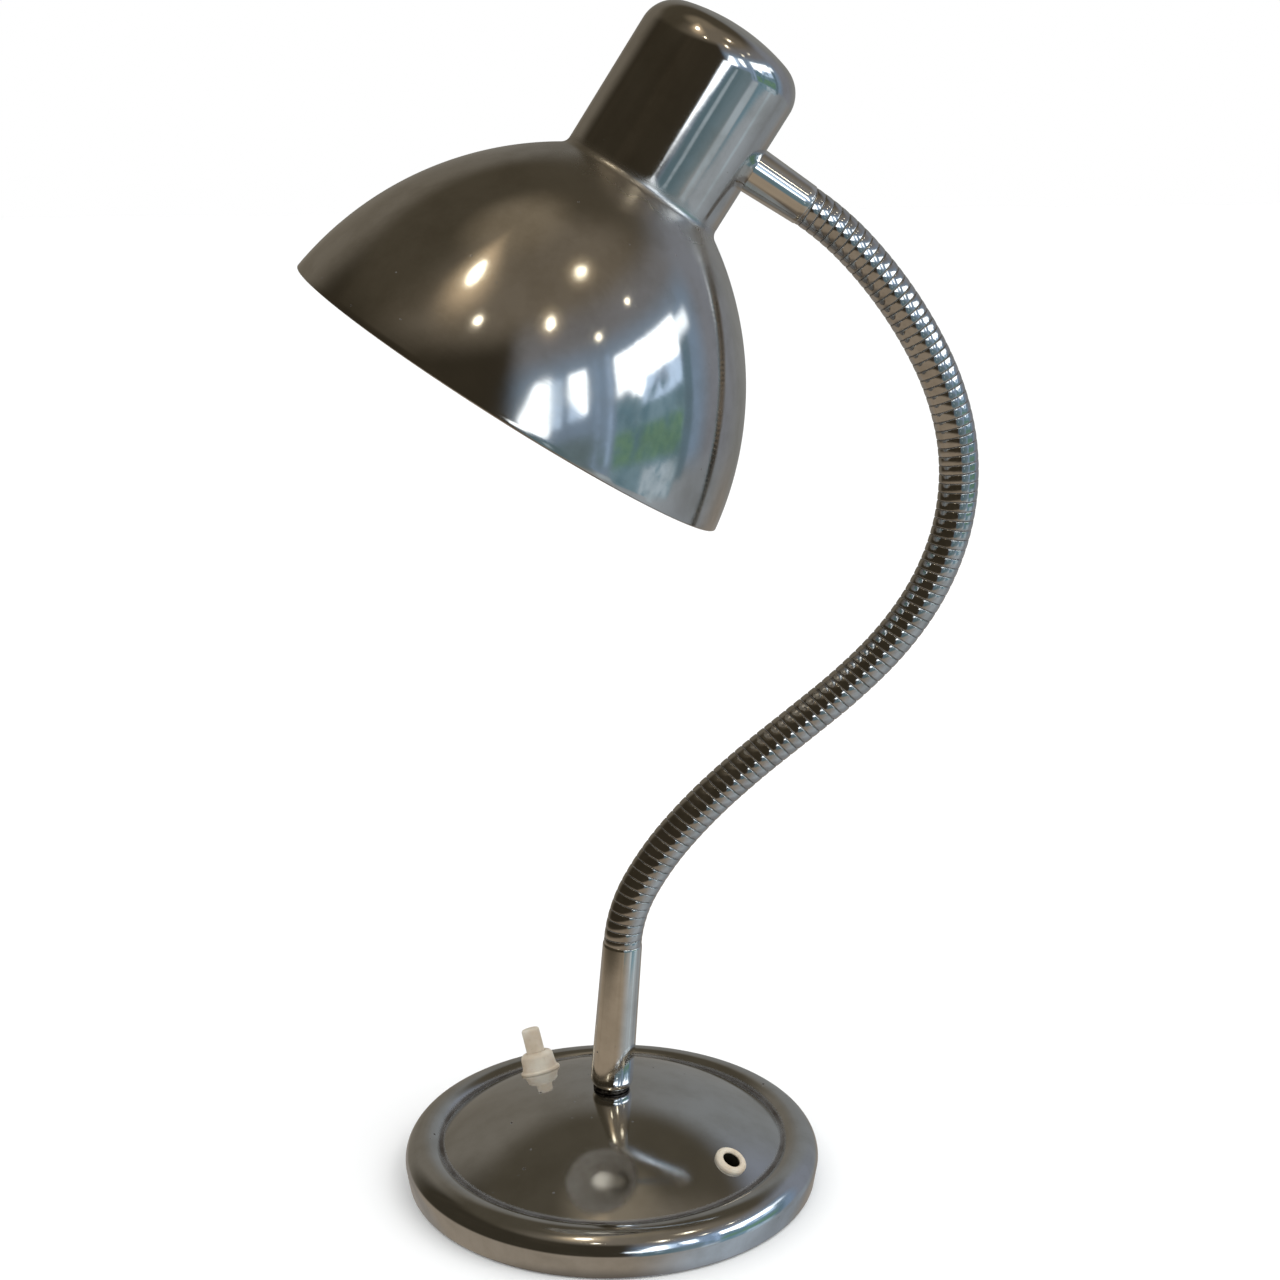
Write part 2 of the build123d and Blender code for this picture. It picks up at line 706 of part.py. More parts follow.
def switch_parts():
    """The white bush through the dome, its nut, and the switch's housing below."""
    bush = rod(switch_flange_radius, 0, switch_flange_height)
    bush += rod(switch_collar_radius, 0, switch_collar_height)
    bush = fillet(bush.edges().sort_by(Axis.Z)[-1], collar_round)
    bush += rod(switch_shank_radius, -switch_shank_length, switch_flange_height)
    bush -= rod(plunger_radius + play, -switch_shank_length - overcut, switch_collar_height + overcut)
    nut_corner = nut_across / 2 / cos(pi / 6)
    nut_top = -dome_sag(nut_corner, cover_wall) - seat_gap / 2
    nut = hex_nut(nut_across, switch_shank_radius + play, nut_top - small_nut_thickness, nut_top)
    low = -switch_shank_length - switch_body_length
    body = rod(switch_body_radius, low, -switch_shank_length)
    body -= rod(switch_cavity_radius, low + switch_floor, -switch_shank_length + overcut)
    pins = []
    for side in (-1, 1):
        place = Pos(0, side * pin_spacing / 2, -pin_depth) * Rot(0, 90, 0)
        pin_start = sqrt(switch_body_radius ** 2 - (pin_spacing / 2 + pin_radius) ** 2) - pin_root
        pin_end = switch_body_radius + pin_reach
        body -= place * rod(pin_radius + seat_gap, pin_start - seat_gap, pin_end)
        pins.append(switch_frame * place * rod(pin_radius, pin_start, pin_end))
    return {"switch_bush": switch_frame * bush, "switch_nut": switch_frame * nut,
            "switch_body": switch_frame * body, "switch_pins": Compound(pins)}


def switch_spring():
    """The spring that lifts the button, a coil between the bridge and the housing's floor."""
    floor = -switch_shank_length - switch_body_length + switch_floor
    top = -switch_shank_length - loose_gap - shoulder_height - bridge_thickness
    height = top - floor - 2 * spring_wire - 2 * seat_gap
    coil = Helix(pitch=height / spring_turns, height=height, radius=spring_radius)
    coil = Pos(0, 0, floor + spring_wire + seat_gap) * coil
    start = Plane(origin=coil @ 0, z_dir=coil % 0)
    return switch_frame * sweep(start * Circle(spring_wire), path=coil, is_frenet=True)


def inlet_parts():
    """The white ring bush for the cord, and its nut."""
    ring = tube(inlet_radius, inlet_bore, 0, inlet_height)
    ring = fillet(ring.edges().filter_by(GeomType.CIRCLE).group_by(Axis.Z)[-1], inlet_round)
    ring += tube(inlet_shank_radius, inlet_bore, -inlet_shank_length, inlet_height - inlet_round)
    corner = inlet_nut_across / 2 / cos(pi / 6)
    nut_top = -dome_sag(corner, cover_wall) - seat_gap / 2
    nut = hex_nut(inlet_nut_across, inlet_shank_radius + play, nut_top - small_nut_thickness, nut_top)
    return {"inlet_bush": inlet_frame * ring, "inlet_nut": inlet_frame * nut}


def block_frame():
    """The terminal block's frame on top of the weight, X outwards from the stem."""
    a = radians(block_angle)
    return Plane(origin=(block_circle * cos(a), block_circle * sin(a), weight_top),
                 x_dir=(cos(a), sin(a), 0), z_dir=(0, 0, 1))


def terminal_parts():
    """The terminal block with four screws let into its top."""
    length, width, height = block_size
    block = Box(length, width, height, align=(Align.CENTER, Align.CENTER, Align.MIN))
    screws = []
    for sx in (-0.5, 0.5):
        for sy in (-0.5, 0.5):
            place = Pos(sx * block_screw_spacing[0], sy * block_screw_spacing[1], 0)
            block -= place * rod(block_screw_radius + seat_gap, height - block_screw_depth,
                                 height + overcut)
            screws.append(block_frame() * place * rod(block_screw_radius, height - block_screw_depth, height))
    return {"terminal_block": block_frame() * block, "terminal_screws": Compound(screws)}


def switch_leads():
    """Two cores from the switch's pins to the side of the terminal block."""
    cores = []
    block = block_frame()
    for side in (-1, 1):
        pin = Vector(switch_body_radius + pin_reach, side * pin_spacing / 2, -pin_depth)
        start = switch_frame.from_local_coords(pin)
        face = block.from_local_coords(Vector(-side * lead_gap, block_size[1] / 2, lead_height))
        leave = start + switch_frame.x_dir * lead_reach
        arrive = face + block.y_dir * lead_reach
        route = [tuple(start), tuple(leave), tuple(arrive), tuple(face)]
        cores.append(swept(route, [lead_bend, lead_bend], core_radius))
    return Compound(cores)


def all_parts():
    parts = {"base_cover": base_cover(), "base_weight": base_weight(), "bottom_plate": bottom_plate(),
             "base_felt": rod(felt_radius, 0, felt_thickness), "bottom_screws": bottom_screws(),
             "lower_ferrule": lower_ferrule(), "upper_ferrule": upper_ferrule(), "shade": shade(),
             "holder_bracket": holder_bracket(), "holder_screws": holder_screws(),
             "holder_terminals": holder_terminals(), "holder_body": holder_body(),
             "holder_shell": holder_shell(), "holder_contact": holder_contact(),
             "lamp_leads": lamp_leads(), "neck_flex": neck_flex(), "switch_spring": switch_spring(),
             "switch_leads": switch_leads()}
    for group in (stem_parts(), head_nipple_parts(), bulb_parts(), switch_parts(), plunger_parts(),
                  inlet_parts(), terminal_parts()):
        parts.update(group)
    for index in range(len(neck_turns)):
        parts["neck_%02d" % (index + 1)] = neck_length(index)
    return parts


os.makedirs("parts", exist_ok=True)
for name, shape in all_parts().items():
    export_step(shape, "parts/" + name + ".step")
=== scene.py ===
# %% [markdown]
# # A chromed desk lamp with a flexible neck
# The lamp has a round base, a wound metal neck that stays where it is bent, and a spun metal
# shade. Its construction comes as a fixed frame of solids. This file dresses that frame: it
# makes the visible metal again as fine, smooth surfaces, and gives every piece its finish.
# Chrome has almost no colour of its own. What it shows is the room round it, so the shape of
# each surface and the room that it mirrors matter more here than any paint.

# %% Load the frame
import json
import math

import bmesh
import bpy
import numpy as np
from mathutils import Matrix


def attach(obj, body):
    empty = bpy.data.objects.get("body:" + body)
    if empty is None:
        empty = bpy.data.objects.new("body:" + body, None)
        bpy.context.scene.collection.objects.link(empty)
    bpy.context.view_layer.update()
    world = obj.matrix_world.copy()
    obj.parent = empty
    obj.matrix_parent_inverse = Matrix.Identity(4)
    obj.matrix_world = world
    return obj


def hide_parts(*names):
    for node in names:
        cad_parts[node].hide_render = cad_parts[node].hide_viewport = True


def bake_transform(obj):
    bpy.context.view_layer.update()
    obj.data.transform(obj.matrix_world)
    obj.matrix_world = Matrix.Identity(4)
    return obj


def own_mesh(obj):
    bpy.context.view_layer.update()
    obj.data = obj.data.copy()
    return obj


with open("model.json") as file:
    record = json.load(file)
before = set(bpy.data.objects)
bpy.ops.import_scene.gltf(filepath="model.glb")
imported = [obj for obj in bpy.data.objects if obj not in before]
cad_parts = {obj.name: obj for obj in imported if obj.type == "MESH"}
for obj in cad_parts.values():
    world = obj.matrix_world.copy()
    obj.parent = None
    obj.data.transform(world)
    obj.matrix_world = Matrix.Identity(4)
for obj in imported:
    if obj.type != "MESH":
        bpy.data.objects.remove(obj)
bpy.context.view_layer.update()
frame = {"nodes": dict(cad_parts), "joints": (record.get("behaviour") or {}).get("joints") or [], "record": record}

print("nodes in the frame:", len(frame["nodes"]))

# %% [markdown]
# ## Sizes
# Lengths are in millimetres, as on a workshop drawing, and become metres when a mesh is built.
# Heights are above the table. The numbers are the ones that the solids were made with, so each
# surface lies where its solid lies.

# %% The lamp's sizes
metre = 0.001
base_radius = 72.0
bead_height = 15.4
bead_outer_roll = 7.5
bead_inner_roll = 5.9
dome_height = 31.6
dome_curve = 105.4
cover_wall = 1.0
lip_radius = 68.7
stem_lean = 4.6
ferrule_length = 52.8
foot_ring_height = 1.2
neck_radius = 6.5
rib_pitch = 3.13
ribs_per_length = 7
neck_turns = (-24.7, -11.6, -7.0, -4.1, 0.5, 6.3, 11.7, 14.9, 16.5, 16.4, 13.1, 8.5, 8.3, 12.8)
neck_bore = 4.7
tail_radius = 5.3
tail_length = 10.0
upper_reach = 20.0
cap_radius = 26.8
cap_height = 133.8
entry_height = 100.5
switch_circle = 36.9
switch_angle = 128.0
inlet_circle = 50.0
inlet_angle = -43.4
dome_centre = dome_height - dome_curve
stem_foot = np.array([0.0, 0.0, dome_height + foot_ring_height])
length_span = rib_pitch * ribs_per_length
neck_span = length_span * len(neck_turns)
first_heading = 90.0 - stem_lean
print("visible neck: %.0f mm, %d windings" % (neck_span, ribs_per_length * len(neck_turns)))

# %% [markdown]
# ## Places
# A fitting that stands askew is easiest to draw upright, round its own axis, and to set down
# afterwards. A place holds an origin and three square directions, and turns a drawing's
# points into points of the lamp.


# %% A place for a fitting
def unit(vector):
    """The vector divided by its length."""
    vector = np.asarray(vector, float)
    return vector / np.linalg.norm(vector)


class Place:
    """An origin and three square directions, in millimetres in the lamp's frame."""

    def __init__(self, origin, up, across):
        self.origin = np.asarray(origin, float)
        self.z = unit(up)
        self.x = unit(across)
        self.y = np.cross(self.z, self.x)

    def put(self, points):
        """Each point is the origin plus its three numbers along the three directions."""
        points = np.asarray(points, float)
        return self.origin + points @ np.stack([self.x, self.y, self.z])


def on_dome(circle, angle):
    """Square to the base's dome: it leans by the arcsine of the circle over the dome's curve."""
    tilt = math.asin(circle / dome_curve)
    turn = math.radians(angle)
    normal = (math.sin(tilt) * math.cos(turn), math.sin(tilt) * math.sin(turn), math.cos(tilt))
    origin = np.array([0.0, 0.0, dome_centre]) + dome_curve * np.array(normal)
    return Place(origin, normal, (math.sin(turn), -math.cos(turn), 0.0))


upright = Place((0, 0, 0), (0, 0, 1), (1, 0, 0))
lean = math.radians(stem_lean)
stem = Place(stem_foot, (math.sin(lean), 0, math.cos(lean)), (0, 1, 0))
switch = on_dome(switch_circle, switch_angle)
inlet = on_dome(inlet_circle, inlet_angle)
print("switch stands at", np.round(switch.origin, 1), "and the cord bush at", np.round(inlet.origin, 1))

# %% [markdown]
# ## The neck's line
# The neck is drawn as its heading over its length. The heading turns steadily within each of
# the fourteen lengths, and adding up small steps in the heading's direction gives the line.
# This is how a real neck behaves: it keeps its length whatever its bend.


# %% The line of the neck
def heading_at(distance):
    """The first heading plus the turns of all lengths passed, and a share of the present one."""
    stops = np.arange(len(neck_turns) + 1) * length_span
    headings = first_heading + np.concatenate([[0.0], np.cumsum(neck_turns)])
    return np.interp(distance, stops, headings)


steps_per_length = 400
fine_steps = np.linspace(0.0, neck_span, len(neck_turns) * steps_per_length + 1)
fine_middle = np.radians(heading_at((fine_steps[1:] + fine_steps[:-1]) / 2))
fine_run = np.diff(fine_steps)[:, None] * np.stack([np.cos(fine_middle), np.sin(fine_middle)], -1)
neck_start = stem_foot + stem.z * ferrule_length
fine_line = np.vstack([[0.0, 0.0], np.cumsum(fine_run, axis=0)]) + neck_start[[0, 2]]


def neck_line(distance):
    """Points of the neck's middle: looked up along the line, and straight on past both ends."""
    distance = np.asarray(distance, float)
    inside = np.clip(distance, 0.0, neck_span)
    heading = np.radians(heading_at(inside))
    beyond = distance - inside
    x = np.interp(inside, fine_steps, fine_line[:, 0]) + beyond * np.cos(heading)
    z = np.interp(inside, fine_steps, fine_line[:, 1]) + beyond * np.sin(heading)
    return np.stack([x, np.zeros_like(x), z], -1), heading


neck_end, last_heading = neck_line(neck_span)
into_cap = np.array([math.cos(last_heading), 0.0, math.sin(last_heading)])
shade_axis = np.array([into_cap[2], 0.0, -into_cap[0]])
rim_centre = neck_end + into_cap * (upper_reach + cap_radius) - shade_axis * entry_height
head = Place(rim_centre, shade_axis, -into_cap)
entry = Place(rim_centre + shade_axis * entry_height, -into_cap, (0, 1, 0))
hinge_places = [np.array(j["pos_m"]) / metre for j in frame["joints"] if j["type"] == "hinge"]
strays = [np.linalg.norm(neck_line((k + 1) * length_span)[0] - p) for k, p in enumerate(hinge_places)]
print("the line passes the frame's hinges within %.3f mm" % max(strays))

# %% [markdown]
# ## The base's crease
# A small hollow fillet joins the base's bead and its dome. Its centre is one fillet radius away
# from both: it is where two larger circles cross.

# %% The crease between bead and dome
crest = base_radius - bead_outer_roll
ring_low = (crest, bead_height - bead_outer_roll)
ring_top = (crest, bead_height - bead_inner_roll)
ball = (0.0, dome_centre)
crease_fillet = 1.2


def touch(first_radius, second_radius):
    """Where circles about the bead's roll and the dome's centre cross, on the inner side."""
    away = np.array(ring_top) - np.array(ball)
    gap = np.linalg.norm(away)
    along = (second_radius ** 2 - first_radius ** 2 + gap ** 2) / (2 * gap)
    across = math.sqrt(second_radius ** 2 - along ** 2)
    way = away / gap
    return np.array(ball) + way * along + np.array([-way[1], way[0]]) * across


fillet_centre = touch(bead_inner_roll + crease_fillet, dome_curve + crease_fillet)
crease_radius = float(fillet_centre[0])
print("crease at %.1f mm from the axis" % crease_radius)

# %% [markdown]
# ## Surfaces from grids
# Nearly everything here is a grid of points: rows along a profile and columns round an axis.
# The last column lies on the first one, and at a pole a whole row is one point. Merging such
# doubles closes the surface, and turning all faces outwards then gives a solid-looking skin.


# %% Grids into meshes
smooth_limit = 32.0
coarse_limit = 50.0


def into_scene(name, data):
    """A new object in the scene that shows a mesh, a lamp or a camera."""
    thing = bpy.data.objects.new(name, data)
    bpy.context.scene.collection.objects.link(thing)
    return thing


def grid_faces(rows, columns, loop):
    """Each face joins a point to its right, upper right and upper neighbour in the grid."""
    low = np.arange(rows if loop else rows - 1)
    high = (low + 1) % rows
    left = np.arange(columns - 1)
    corners = [low[:, None] * columns + left, low[:, None] * columns + left + 1,
               high[:, None] * columns + left + 1, high[:, None] * columns + left]
    return np.stack(corners, -1).reshape(-1, 4)


def skin(name, grid, loop=True, marks=None, crease=smooth_limit, merge=2e-6):
    """A closed mesh from a grid of rows, columns and xyz in millimetres, with smooth shading."""
    rows, columns = grid.shape[:2]
    mesh = bpy.data.meshes.new(name)
    mesh.from_pydata((grid.reshape(-1, 3) * metre).tolist(), [], grid_faces(rows, columns, loop).tolist())
    if marks is not None:
        layer = mesh.attributes.new("hollow", "FLOAT", "POINT")
        layer.data.foreach_set("value", marks.astype(np.float32).ravel())
    work = bmesh.new()
    work.from_mesh(mesh)
    bmesh.ops.remove_doubles(work, verts=work.verts, dist=merge)
    bmesh.ops.dissolve_degenerate(work, edges=work.edges, dist=merge / 2)
    bmesh.ops.recalc_face_normals(work, faces=work.faces)
    work.to_mesh(mesh)
    work.free()
    mesh.shade_smooth()
    mesh.set_sharp_from_angle(angle=math.radians(crease))
    return into_scene(name, mesh)


print("edges over %.0f degrees stay sharp, on coarse pipes over %.0f" % (smooth_limit, coarse_limit))

# %% [markdown]
# ## Outlines with rounded corners
# Pressed and turned metal has no truly sharp corner. An outline is written as its corners, each
# with a rounding, and every rounding becomes an arc that runs smoothly into both sides: its
# centre lies on the line that halves the corner, one rounding over the half's sine away.


# %% Arcs and rounded outlines
def arc(centre, radius, start, end, step=3.0):
    """Points on a circle, a few degrees apart, from one angle in degrees to another."""
    count = max(2, int(abs(end - start) / step) + 2)
    angle = np.radians(np.linspace(start, end, count))
    return np.stack([centre[0] + radius * np.cos(angle), centre[1] + radius * np.sin(angle)], -1)


def rounded(corners, step=15.0):
    """An outline from corners (radius, height, rounding): each rounding becomes a tangent arc."""
    places = [np.array(corner[:2], float) for corner in corners]
    points = []
    for k, here in enumerate(places):
        rounding = corners[k][2] if len(corners[k]) > 2 else 0.0
        back = unit(places[k - 1] - here)
        on = unit(places[(k + 1) % len(places)] - here)
        half = math.acos(float(np.clip(back @ on, -1, 1))) / 2
        if rounding <= 0 or half > math.radians(89):
            points.append(here)
            continue
        reach = rounding / math.tan(half)
        centre = here + unit(back + on) * rounding / math.sin(half)
        first = np.degrees(math.atan2(*(here + back * reach - centre)[::-1]))
        last = np.degrees(math.atan2(*(here + on * reach - centre)[::-1]))
        sweep = (last - first + 180) % 360 - 180
        points.extend(arc(centre, rounding, first, first + sweep, step))
    return np.array(points)


print("a quarter circle has", len(arc((0, 0), 1.0, 0, 90)), "points")

# %% [markdown]
# ## Lathe and drill
# A lathe carries an outline round an axis: each point's radius becomes a circle, and its height
# stays. Holes beside the axis are cut afterwards, each with a rod and an exact boolean.

# %% Lathe and drill
round_columns = 96


def once_round(count):
    """Angles once round the axis, of which the last lies on the first."""
    return np.linspace(0, 2 * np.pi, count)


def on_rings(radius, angle, height):
    """Points round an axis: the radius times the angle's cosine and sine, and the height."""
    return np.stack([radius * np.cos(angle), radius * np.sin(angle), height + 0 * angle], -1)


def turned(profile, segments=round_columns):
    """A grid with a row for each point of a profile and a column for each angle."""
    profile = np.asarray(profile, float)
    return on_rings(profile[:, :1], once_round(segments + 1), profile[:, 1:2])


def lathe(name, profile, place, segments=round_columns, loop=True, marks=None):
    """A profile of radius and height turned about a place's axis, one column per angle."""
    grid = turned(profile, segments)
    if marks is not None:
        marks = marks[:, None] + 0 * grid[..., 0]
    return skin(name, place.put(grid), loop, marks)


def drill(piece, place, radius, low, high):
    """Takes a round rod out of a piece with an exact boolean, and keeps the result as its mesh."""
    cutter = lathe("cutter", [(0, low), (radius, low), (radius, high), (0, high)], place, 64, loop=False)
    step = piece.modifiers.new("hole", "BOOLEAN")
    step.operation = "DIFFERENCE"
    step.solver = "EXACT"
    step.object = cutter
    ready = piece.evaluated_get(bpy.context.evaluated_depsgraph_get())
    mesh = bpy.data.meshes.new_from_object(ready)
    piece.modifiers.clear()
    piece.data = mesh
    mesh.set_sharp_from_angle(angle=math.radians(smooth_limit))
    bpy.data.objects.remove(cutter)


def triangles(piece):
    """How many triangles a piece has."""
    piece.data.calc_loop_triangles()
    return len(piece.data.loop_triangles)


print("a turned piece has a column for every %.2f degrees" % (360 / round_columns))

# %% [markdown]
# ## Shader maths
# A finish is arithmetic: this much noise, times that mask, plus a base value. Written as node
# clicks it can't be read, so a small class wraps a socket and turns + - * / into Math nodes.
# Colours and directions have three numbers and go through Mix and Vector Math instead.


# %% Sockets that can be added and multiplied
class Value:
    """One number that varies over a surface. Arithmetic on it adds Math nodes to its tree."""

    def __init__(self, tree, socket):
        self.tree = tree
        self.socket = socket

    def absolute(self):
        """The value without its sign."""
        return self.tree.math("ABSOLUTE", self)

    def __add__(self, other):
        return self.tree.math("ADD", self, other)

    def __radd__(self, other):
        return self.tree.math("ADD", other, self)

    def __sub__(self, other):
        return self.tree.math("SUBTRACT", self, other)

    def __rsub__(self, other):
        return self.tree.math("SUBTRACT", other, self)

    def __mul__(self, other):
        return self.tree.math("MULTIPLY", self, other)

    def __rmul__(self, other):
        return self.tree.math("MULTIPLY", other, self)

    def __truediv__(self, other):
        return self.tree.math("DIVIDE", self, other)

    def __rtruediv__(self, other):
        return self.tree.math("DIVIDE", other, self)

    def ramp(self, low, high):
        """A smooth rise from 0 at low to 1 at high, or a fall where high is the smaller."""
        return self.tree.node("ShaderNodeMapRange", {"interpolation_type": "SMOOTHSTEP"},
                              {"Value": self, "From Min": low, "From Max": high})


print("sockets can be added, subtracted, multiplied and divided")

# %% [markdown]
# ## Writing a finish
# Every other node comes from one method, which takes the node's type, its settings and what its
# sockets get. The patterns that old metal needs are short names for it: clouds, cells, drawn out
# lines, and rings round an axis.


# %% A node tree being written
class Finish:
    """A node tree being written: a material's, or the world's."""

    def __init__(self, owner):
        owner.use_nodes = True
        self.tree = owner.node_tree
        self.tree.nodes.clear()

    def node(self, kind, settings=None, inputs=None, output=0):
        """Any node: its settings are set first, then each input is linked or given its value."""
        made = self.tree.nodes.new(kind)
        for name, value in (settings or {}).items():
            setattr(made, name, value)
        for key, value in (inputs or {}).items():
            socket = made.inputs[key]
            if isinstance(value, Value):
                self.tree.links.new(value.socket, socket)
            else:
                socket.default_value = value
        return Value(self, made.outputs[output]) if made.outputs else None

    def math(self, operation, *values):
        """Math on single numbers."""
        return self.node("ShaderNodeMath", {"operation": operation}, dict(enumerate(values)))

    def noise(self, place, scale, detail=3.0, roughness=0.5):
        """Cloudy noise between 0 and 1; a bigger scale gives smaller clouds."""
        return self.node("ShaderNodeTexNoise", {}, {"Vector": place, "Scale": scale, "Detail": detail,
                                                    "Roughness": roughness})

    def mix(self, share, first, second):
        """A colour between two colours."""
        return self.node("ShaderNodeMix", {"data_type": "RGBA"}, {0: share, 6: first, 7: second}, 2)

    def vector(self, operation, first, second=(0, 0, 0), output=0):
        """Vector Math on directions or places. Output 1 is the answer where that is one number."""
        return self.node("ShaderNodeVectorMath", {"operation": operation}, {0: first, 1: second}, output)

    def stretch(self, place, scale, rotation=(0, 0, 0)):
        """The place turned and then scaled by axis, which draws a pattern out into lines."""
        return self.node("ShaderNodeMapping", {}, {"Vector": place, "Rotation": rotation, "Scale": scale})

    def along(self, place, origin, axis):
        """How far a place lies from an origin in an axis's direction, in metres."""
        offset = self.vector("SUBTRACT", place, tuple(origin * metre))
        return self.vector("DOT_PRODUCT", offset, tuple(axis), 1)

    def rings(self, along, scale, detail, roughness):
        """Noise that changes only along an axis, as the marks of a lathe do."""
        return self.noise(self.node("ShaderNodeCombineXYZ", {}, {"Z": along}), scale, detail, roughness)

    def hollow(self):
        """The mark on a mesh's points, 0 outside to 1 down in a groove, by which finishes paint shade."""
        return self.node("ShaderNodeAttribute", {"attribute_name": "hollow"}, {}, 2)

    def cell(self, place, scale):
        """Distance to the nearest of many scattered points, for specks and pits."""
        return self.node("ShaderNodeTexVoronoi", {"feature": "F1"}, {"Vector": place, "Scale": scale})


print("shorthands:", ", ".join(name for name in vars(Finish) if not name.startswith("_")))

# %% [markdown]
# ## Colours and materials
# Colours are written as a screen shows them, from 0 to 255, and turned into amounts of light. A
# material is a function that works out the inputs of one shader.


# %% Colours and materials
def colour(red, green, blue):
    """A colour as seen on a screen, from 0 to 255, turned into light: the sRGB curve undone."""
    seen = np.array([red, green, blue]) / 255
    light = np.where(seen <= 0.04045, seen / 12.92, ((seen + 0.055) / 1.055) ** 2.4)
    return tuple(float(v) for v in light) + (1.0,)


def surface(name, write):
    """A new material whose nodes are written by a function; it returns the Principled inputs."""
    material = bpy.data.materials.new(name)
    finish = Finish(material)
    place = finish.node("ShaderNodeTexCoord", {}, {}, 3)
    shader = finish.node("ShaderNodeBsdfPrincipled", {}, write(finish, place))
    finish.node("ShaderNodeOutputMaterial", {}, {"Surface": shader})
    return material


def relief(finish, height, depth):
    """A bump from a height between 0 and 1, a millimetre deep at full strength."""
    return finish.node("ShaderNodeBump", {}, {"Height": height, "Strength": depth, "Distance": metre})


print("a middle grey on a screen is", round(colour(128, 128, 128)[0], 3), "of full light")

# %% [markdown]
# ## Old chrome
# Chrome plating is a hard, slightly blue-grey mirror over nickel. After decades of wiping it has
# fine hair scratches, dull clouds where polish dried, and here and there a dark pit. Each of
# these is one term: clouds move the roughness, hairs and a lathe's rings move the normal by very
# little, and pits darken and roughen small specks. The terms use object coordinates in metres,
# so a scale of 400 gives clouds about two and a half millimetres wide.

# %% Chrome
chrome_grey = colour(205, 203, 200)
chrome_dull = colour(176, 172, 164)
pit_and_shade_brown = colour(52, 42, 32)
hair_way = (0.5, 0.3, 0.9)
crease_shade_width = 1.6
throat_height = 20.0


def chrome(name, tones, polish, clouds, pit_size, hairs, spun=None, crease=None, throat=None):
    """Chrome with a polish (roughness), cloudy dullness, pits and hair scratches. Spun metal gives
    its axis, origin and the rings' depth. Painted shade with old dirt darkens a crease of a given
    radius. Up to a throat's height on the axis, polishing cloths hardly reach and the plating is duller."""

    def write(finish, place):
        wide = finish.noise(place, 22.0, 2.0)
        cloud = finish.noise(place, 90.0, 4.0, 0.6)
        hair = finish.noise(finish.stretch(place, (1.0, 12.0, 12.0), hair_way), 420.0, 2.0, 0.7)
        rare = finish.noise(place, 130.0, 1.0).ramp(0.60, 0.70)
        pit = finish.cell(place, 260.0).ramp(pit_size, pit_size * 0.5) * rare
        haze = cloud.ramp(0.35, 0.75)
        height = hair * hairs + finish.noise(place, 60.0, 2.0) * 1.2 - pit * 2.0
        pits_dirt_and_crease_shade = pit
        dullness = 0.0
        if spun:
            axis, origin, depth = spun
            along = finish.along(place, origin, axis)
            height = height + finish.rings(along, 900.0, 3.0, 0.6) * depth
        if throat:
            dullness = along.ramp((throat - throat_height) * metre, throat * metre)
            dullness = dullness * along.ramp((throat + 4) * metre, (throat + 1) * metre)
        if crease:
            # painted shade with dirt: a patchy dark band along the crease, merged with the pits
            away = finish.vector("LENGTH", finish.vector("MULTIPLY", place, (1.0, 1.0, 0.0)), output=1)
            aside = (away - crease * metre).absolute()
            line = aside.ramp(crease_shade_width * metre, crease_shade_width / 4 * metre)
            pits_dirt_and_crease_shade = finish.math("MAXIMUM", pit, line * (0.6 + cloud * 0.5))
        tone = finish.mix(haze * 0.5 + wide.ramp(0.4, 0.7) * 0.3, *tones)
        rough = polish + clouds * haze + wide.ramp(0.35, 0.7) * clouds * 0.5
        return {"Base Color": finish.mix(pits_dirt_and_crease_shade, tone, pit_and_shade_brown), "Metallic": 1.0 - pits_dirt_and_crease_shade * 0.5,
                "Roughness": rough + pits_dirt_and_crease_shade * 0.25 + dullness * 0.2, "Normal": relief(finish, height, 0.045)}

    return surface(name, write)


print("clean chrome reflects %.2f of the light" % chrome_grey[1])

# %% [markdown]
# ## The chromed pieces
# The base has been wiped most, so its hair scratches are the strongest. The shade shows the rings
# of its spinning. Painted shade with old dirt darkens the base's crease and the neck's grooves: in
# the grooves it follows the mark that the neck's mesh carries. The shade's inside was never polished at all.

# %% Chromed pieces
throat_edge = 77.0
base_rings = (upright.z, upright.origin, 0.1)
shade_rings = (head.z, head.origin, 0.12)
base_tones = (colour(214, 217, 221), colour(192, 193, 192))
# the sleeves' chrome is painted lighter than the shade's: a lit copy of the same plating
sleeve_lit_tones = (colour(228, 225, 219), colour(200, 196, 187))
shade_tones = (chrome_grey, chrome_dull)
chrome_base = chrome("chrome_base", base_tones, polish=0.06, clouds=0.06, pit_size=0.16, hairs=0.09,
                     spun=base_rings, crease=crease_radius)
chrome_shade = chrome("chrome_shade", shade_tones, polish=0.07, clouds=0.05, pit_size=0.10, hairs=0.04,
                      spun=shade_rings, throat=throat_edge)
lit_chrome_sleeve = chrome("lit_chrome_sleeve", sleeve_lit_tones, polish=0.05, clouds=0.05, pit_size=0.12, hairs=0.05)


def write_neck(finish, place):
    """Wound chrome: bright on the windings, darker with painted shade down in the grooves, in patches."""
    cloud = finish.noise(place, 160.0, 3.0)
    # painted shade: the groove mark darkens the colour, lowers the metal and raises the roughness, in patches
    grime = finish.hollow().ramp(0.1, 0.7) * (0.5 + cloud.ramp(0.1, 0.6) * 0.5)
    tone = finish.mix(cloud.ramp(0.35, 0.75) * 0.6, chrome_grey, chrome_dull)
    return {"Base Color": finish.mix(grime * 0.55, tone, colour(34, 28, 22)),
            "Metallic": 1.0 - grime * 0.35, "Roughness": 0.05 + cloud * 0.06 + grime * 0.25,
            "Normal": relief(finish, finish.noise(place, 900.0, 2.0), 0.012)}


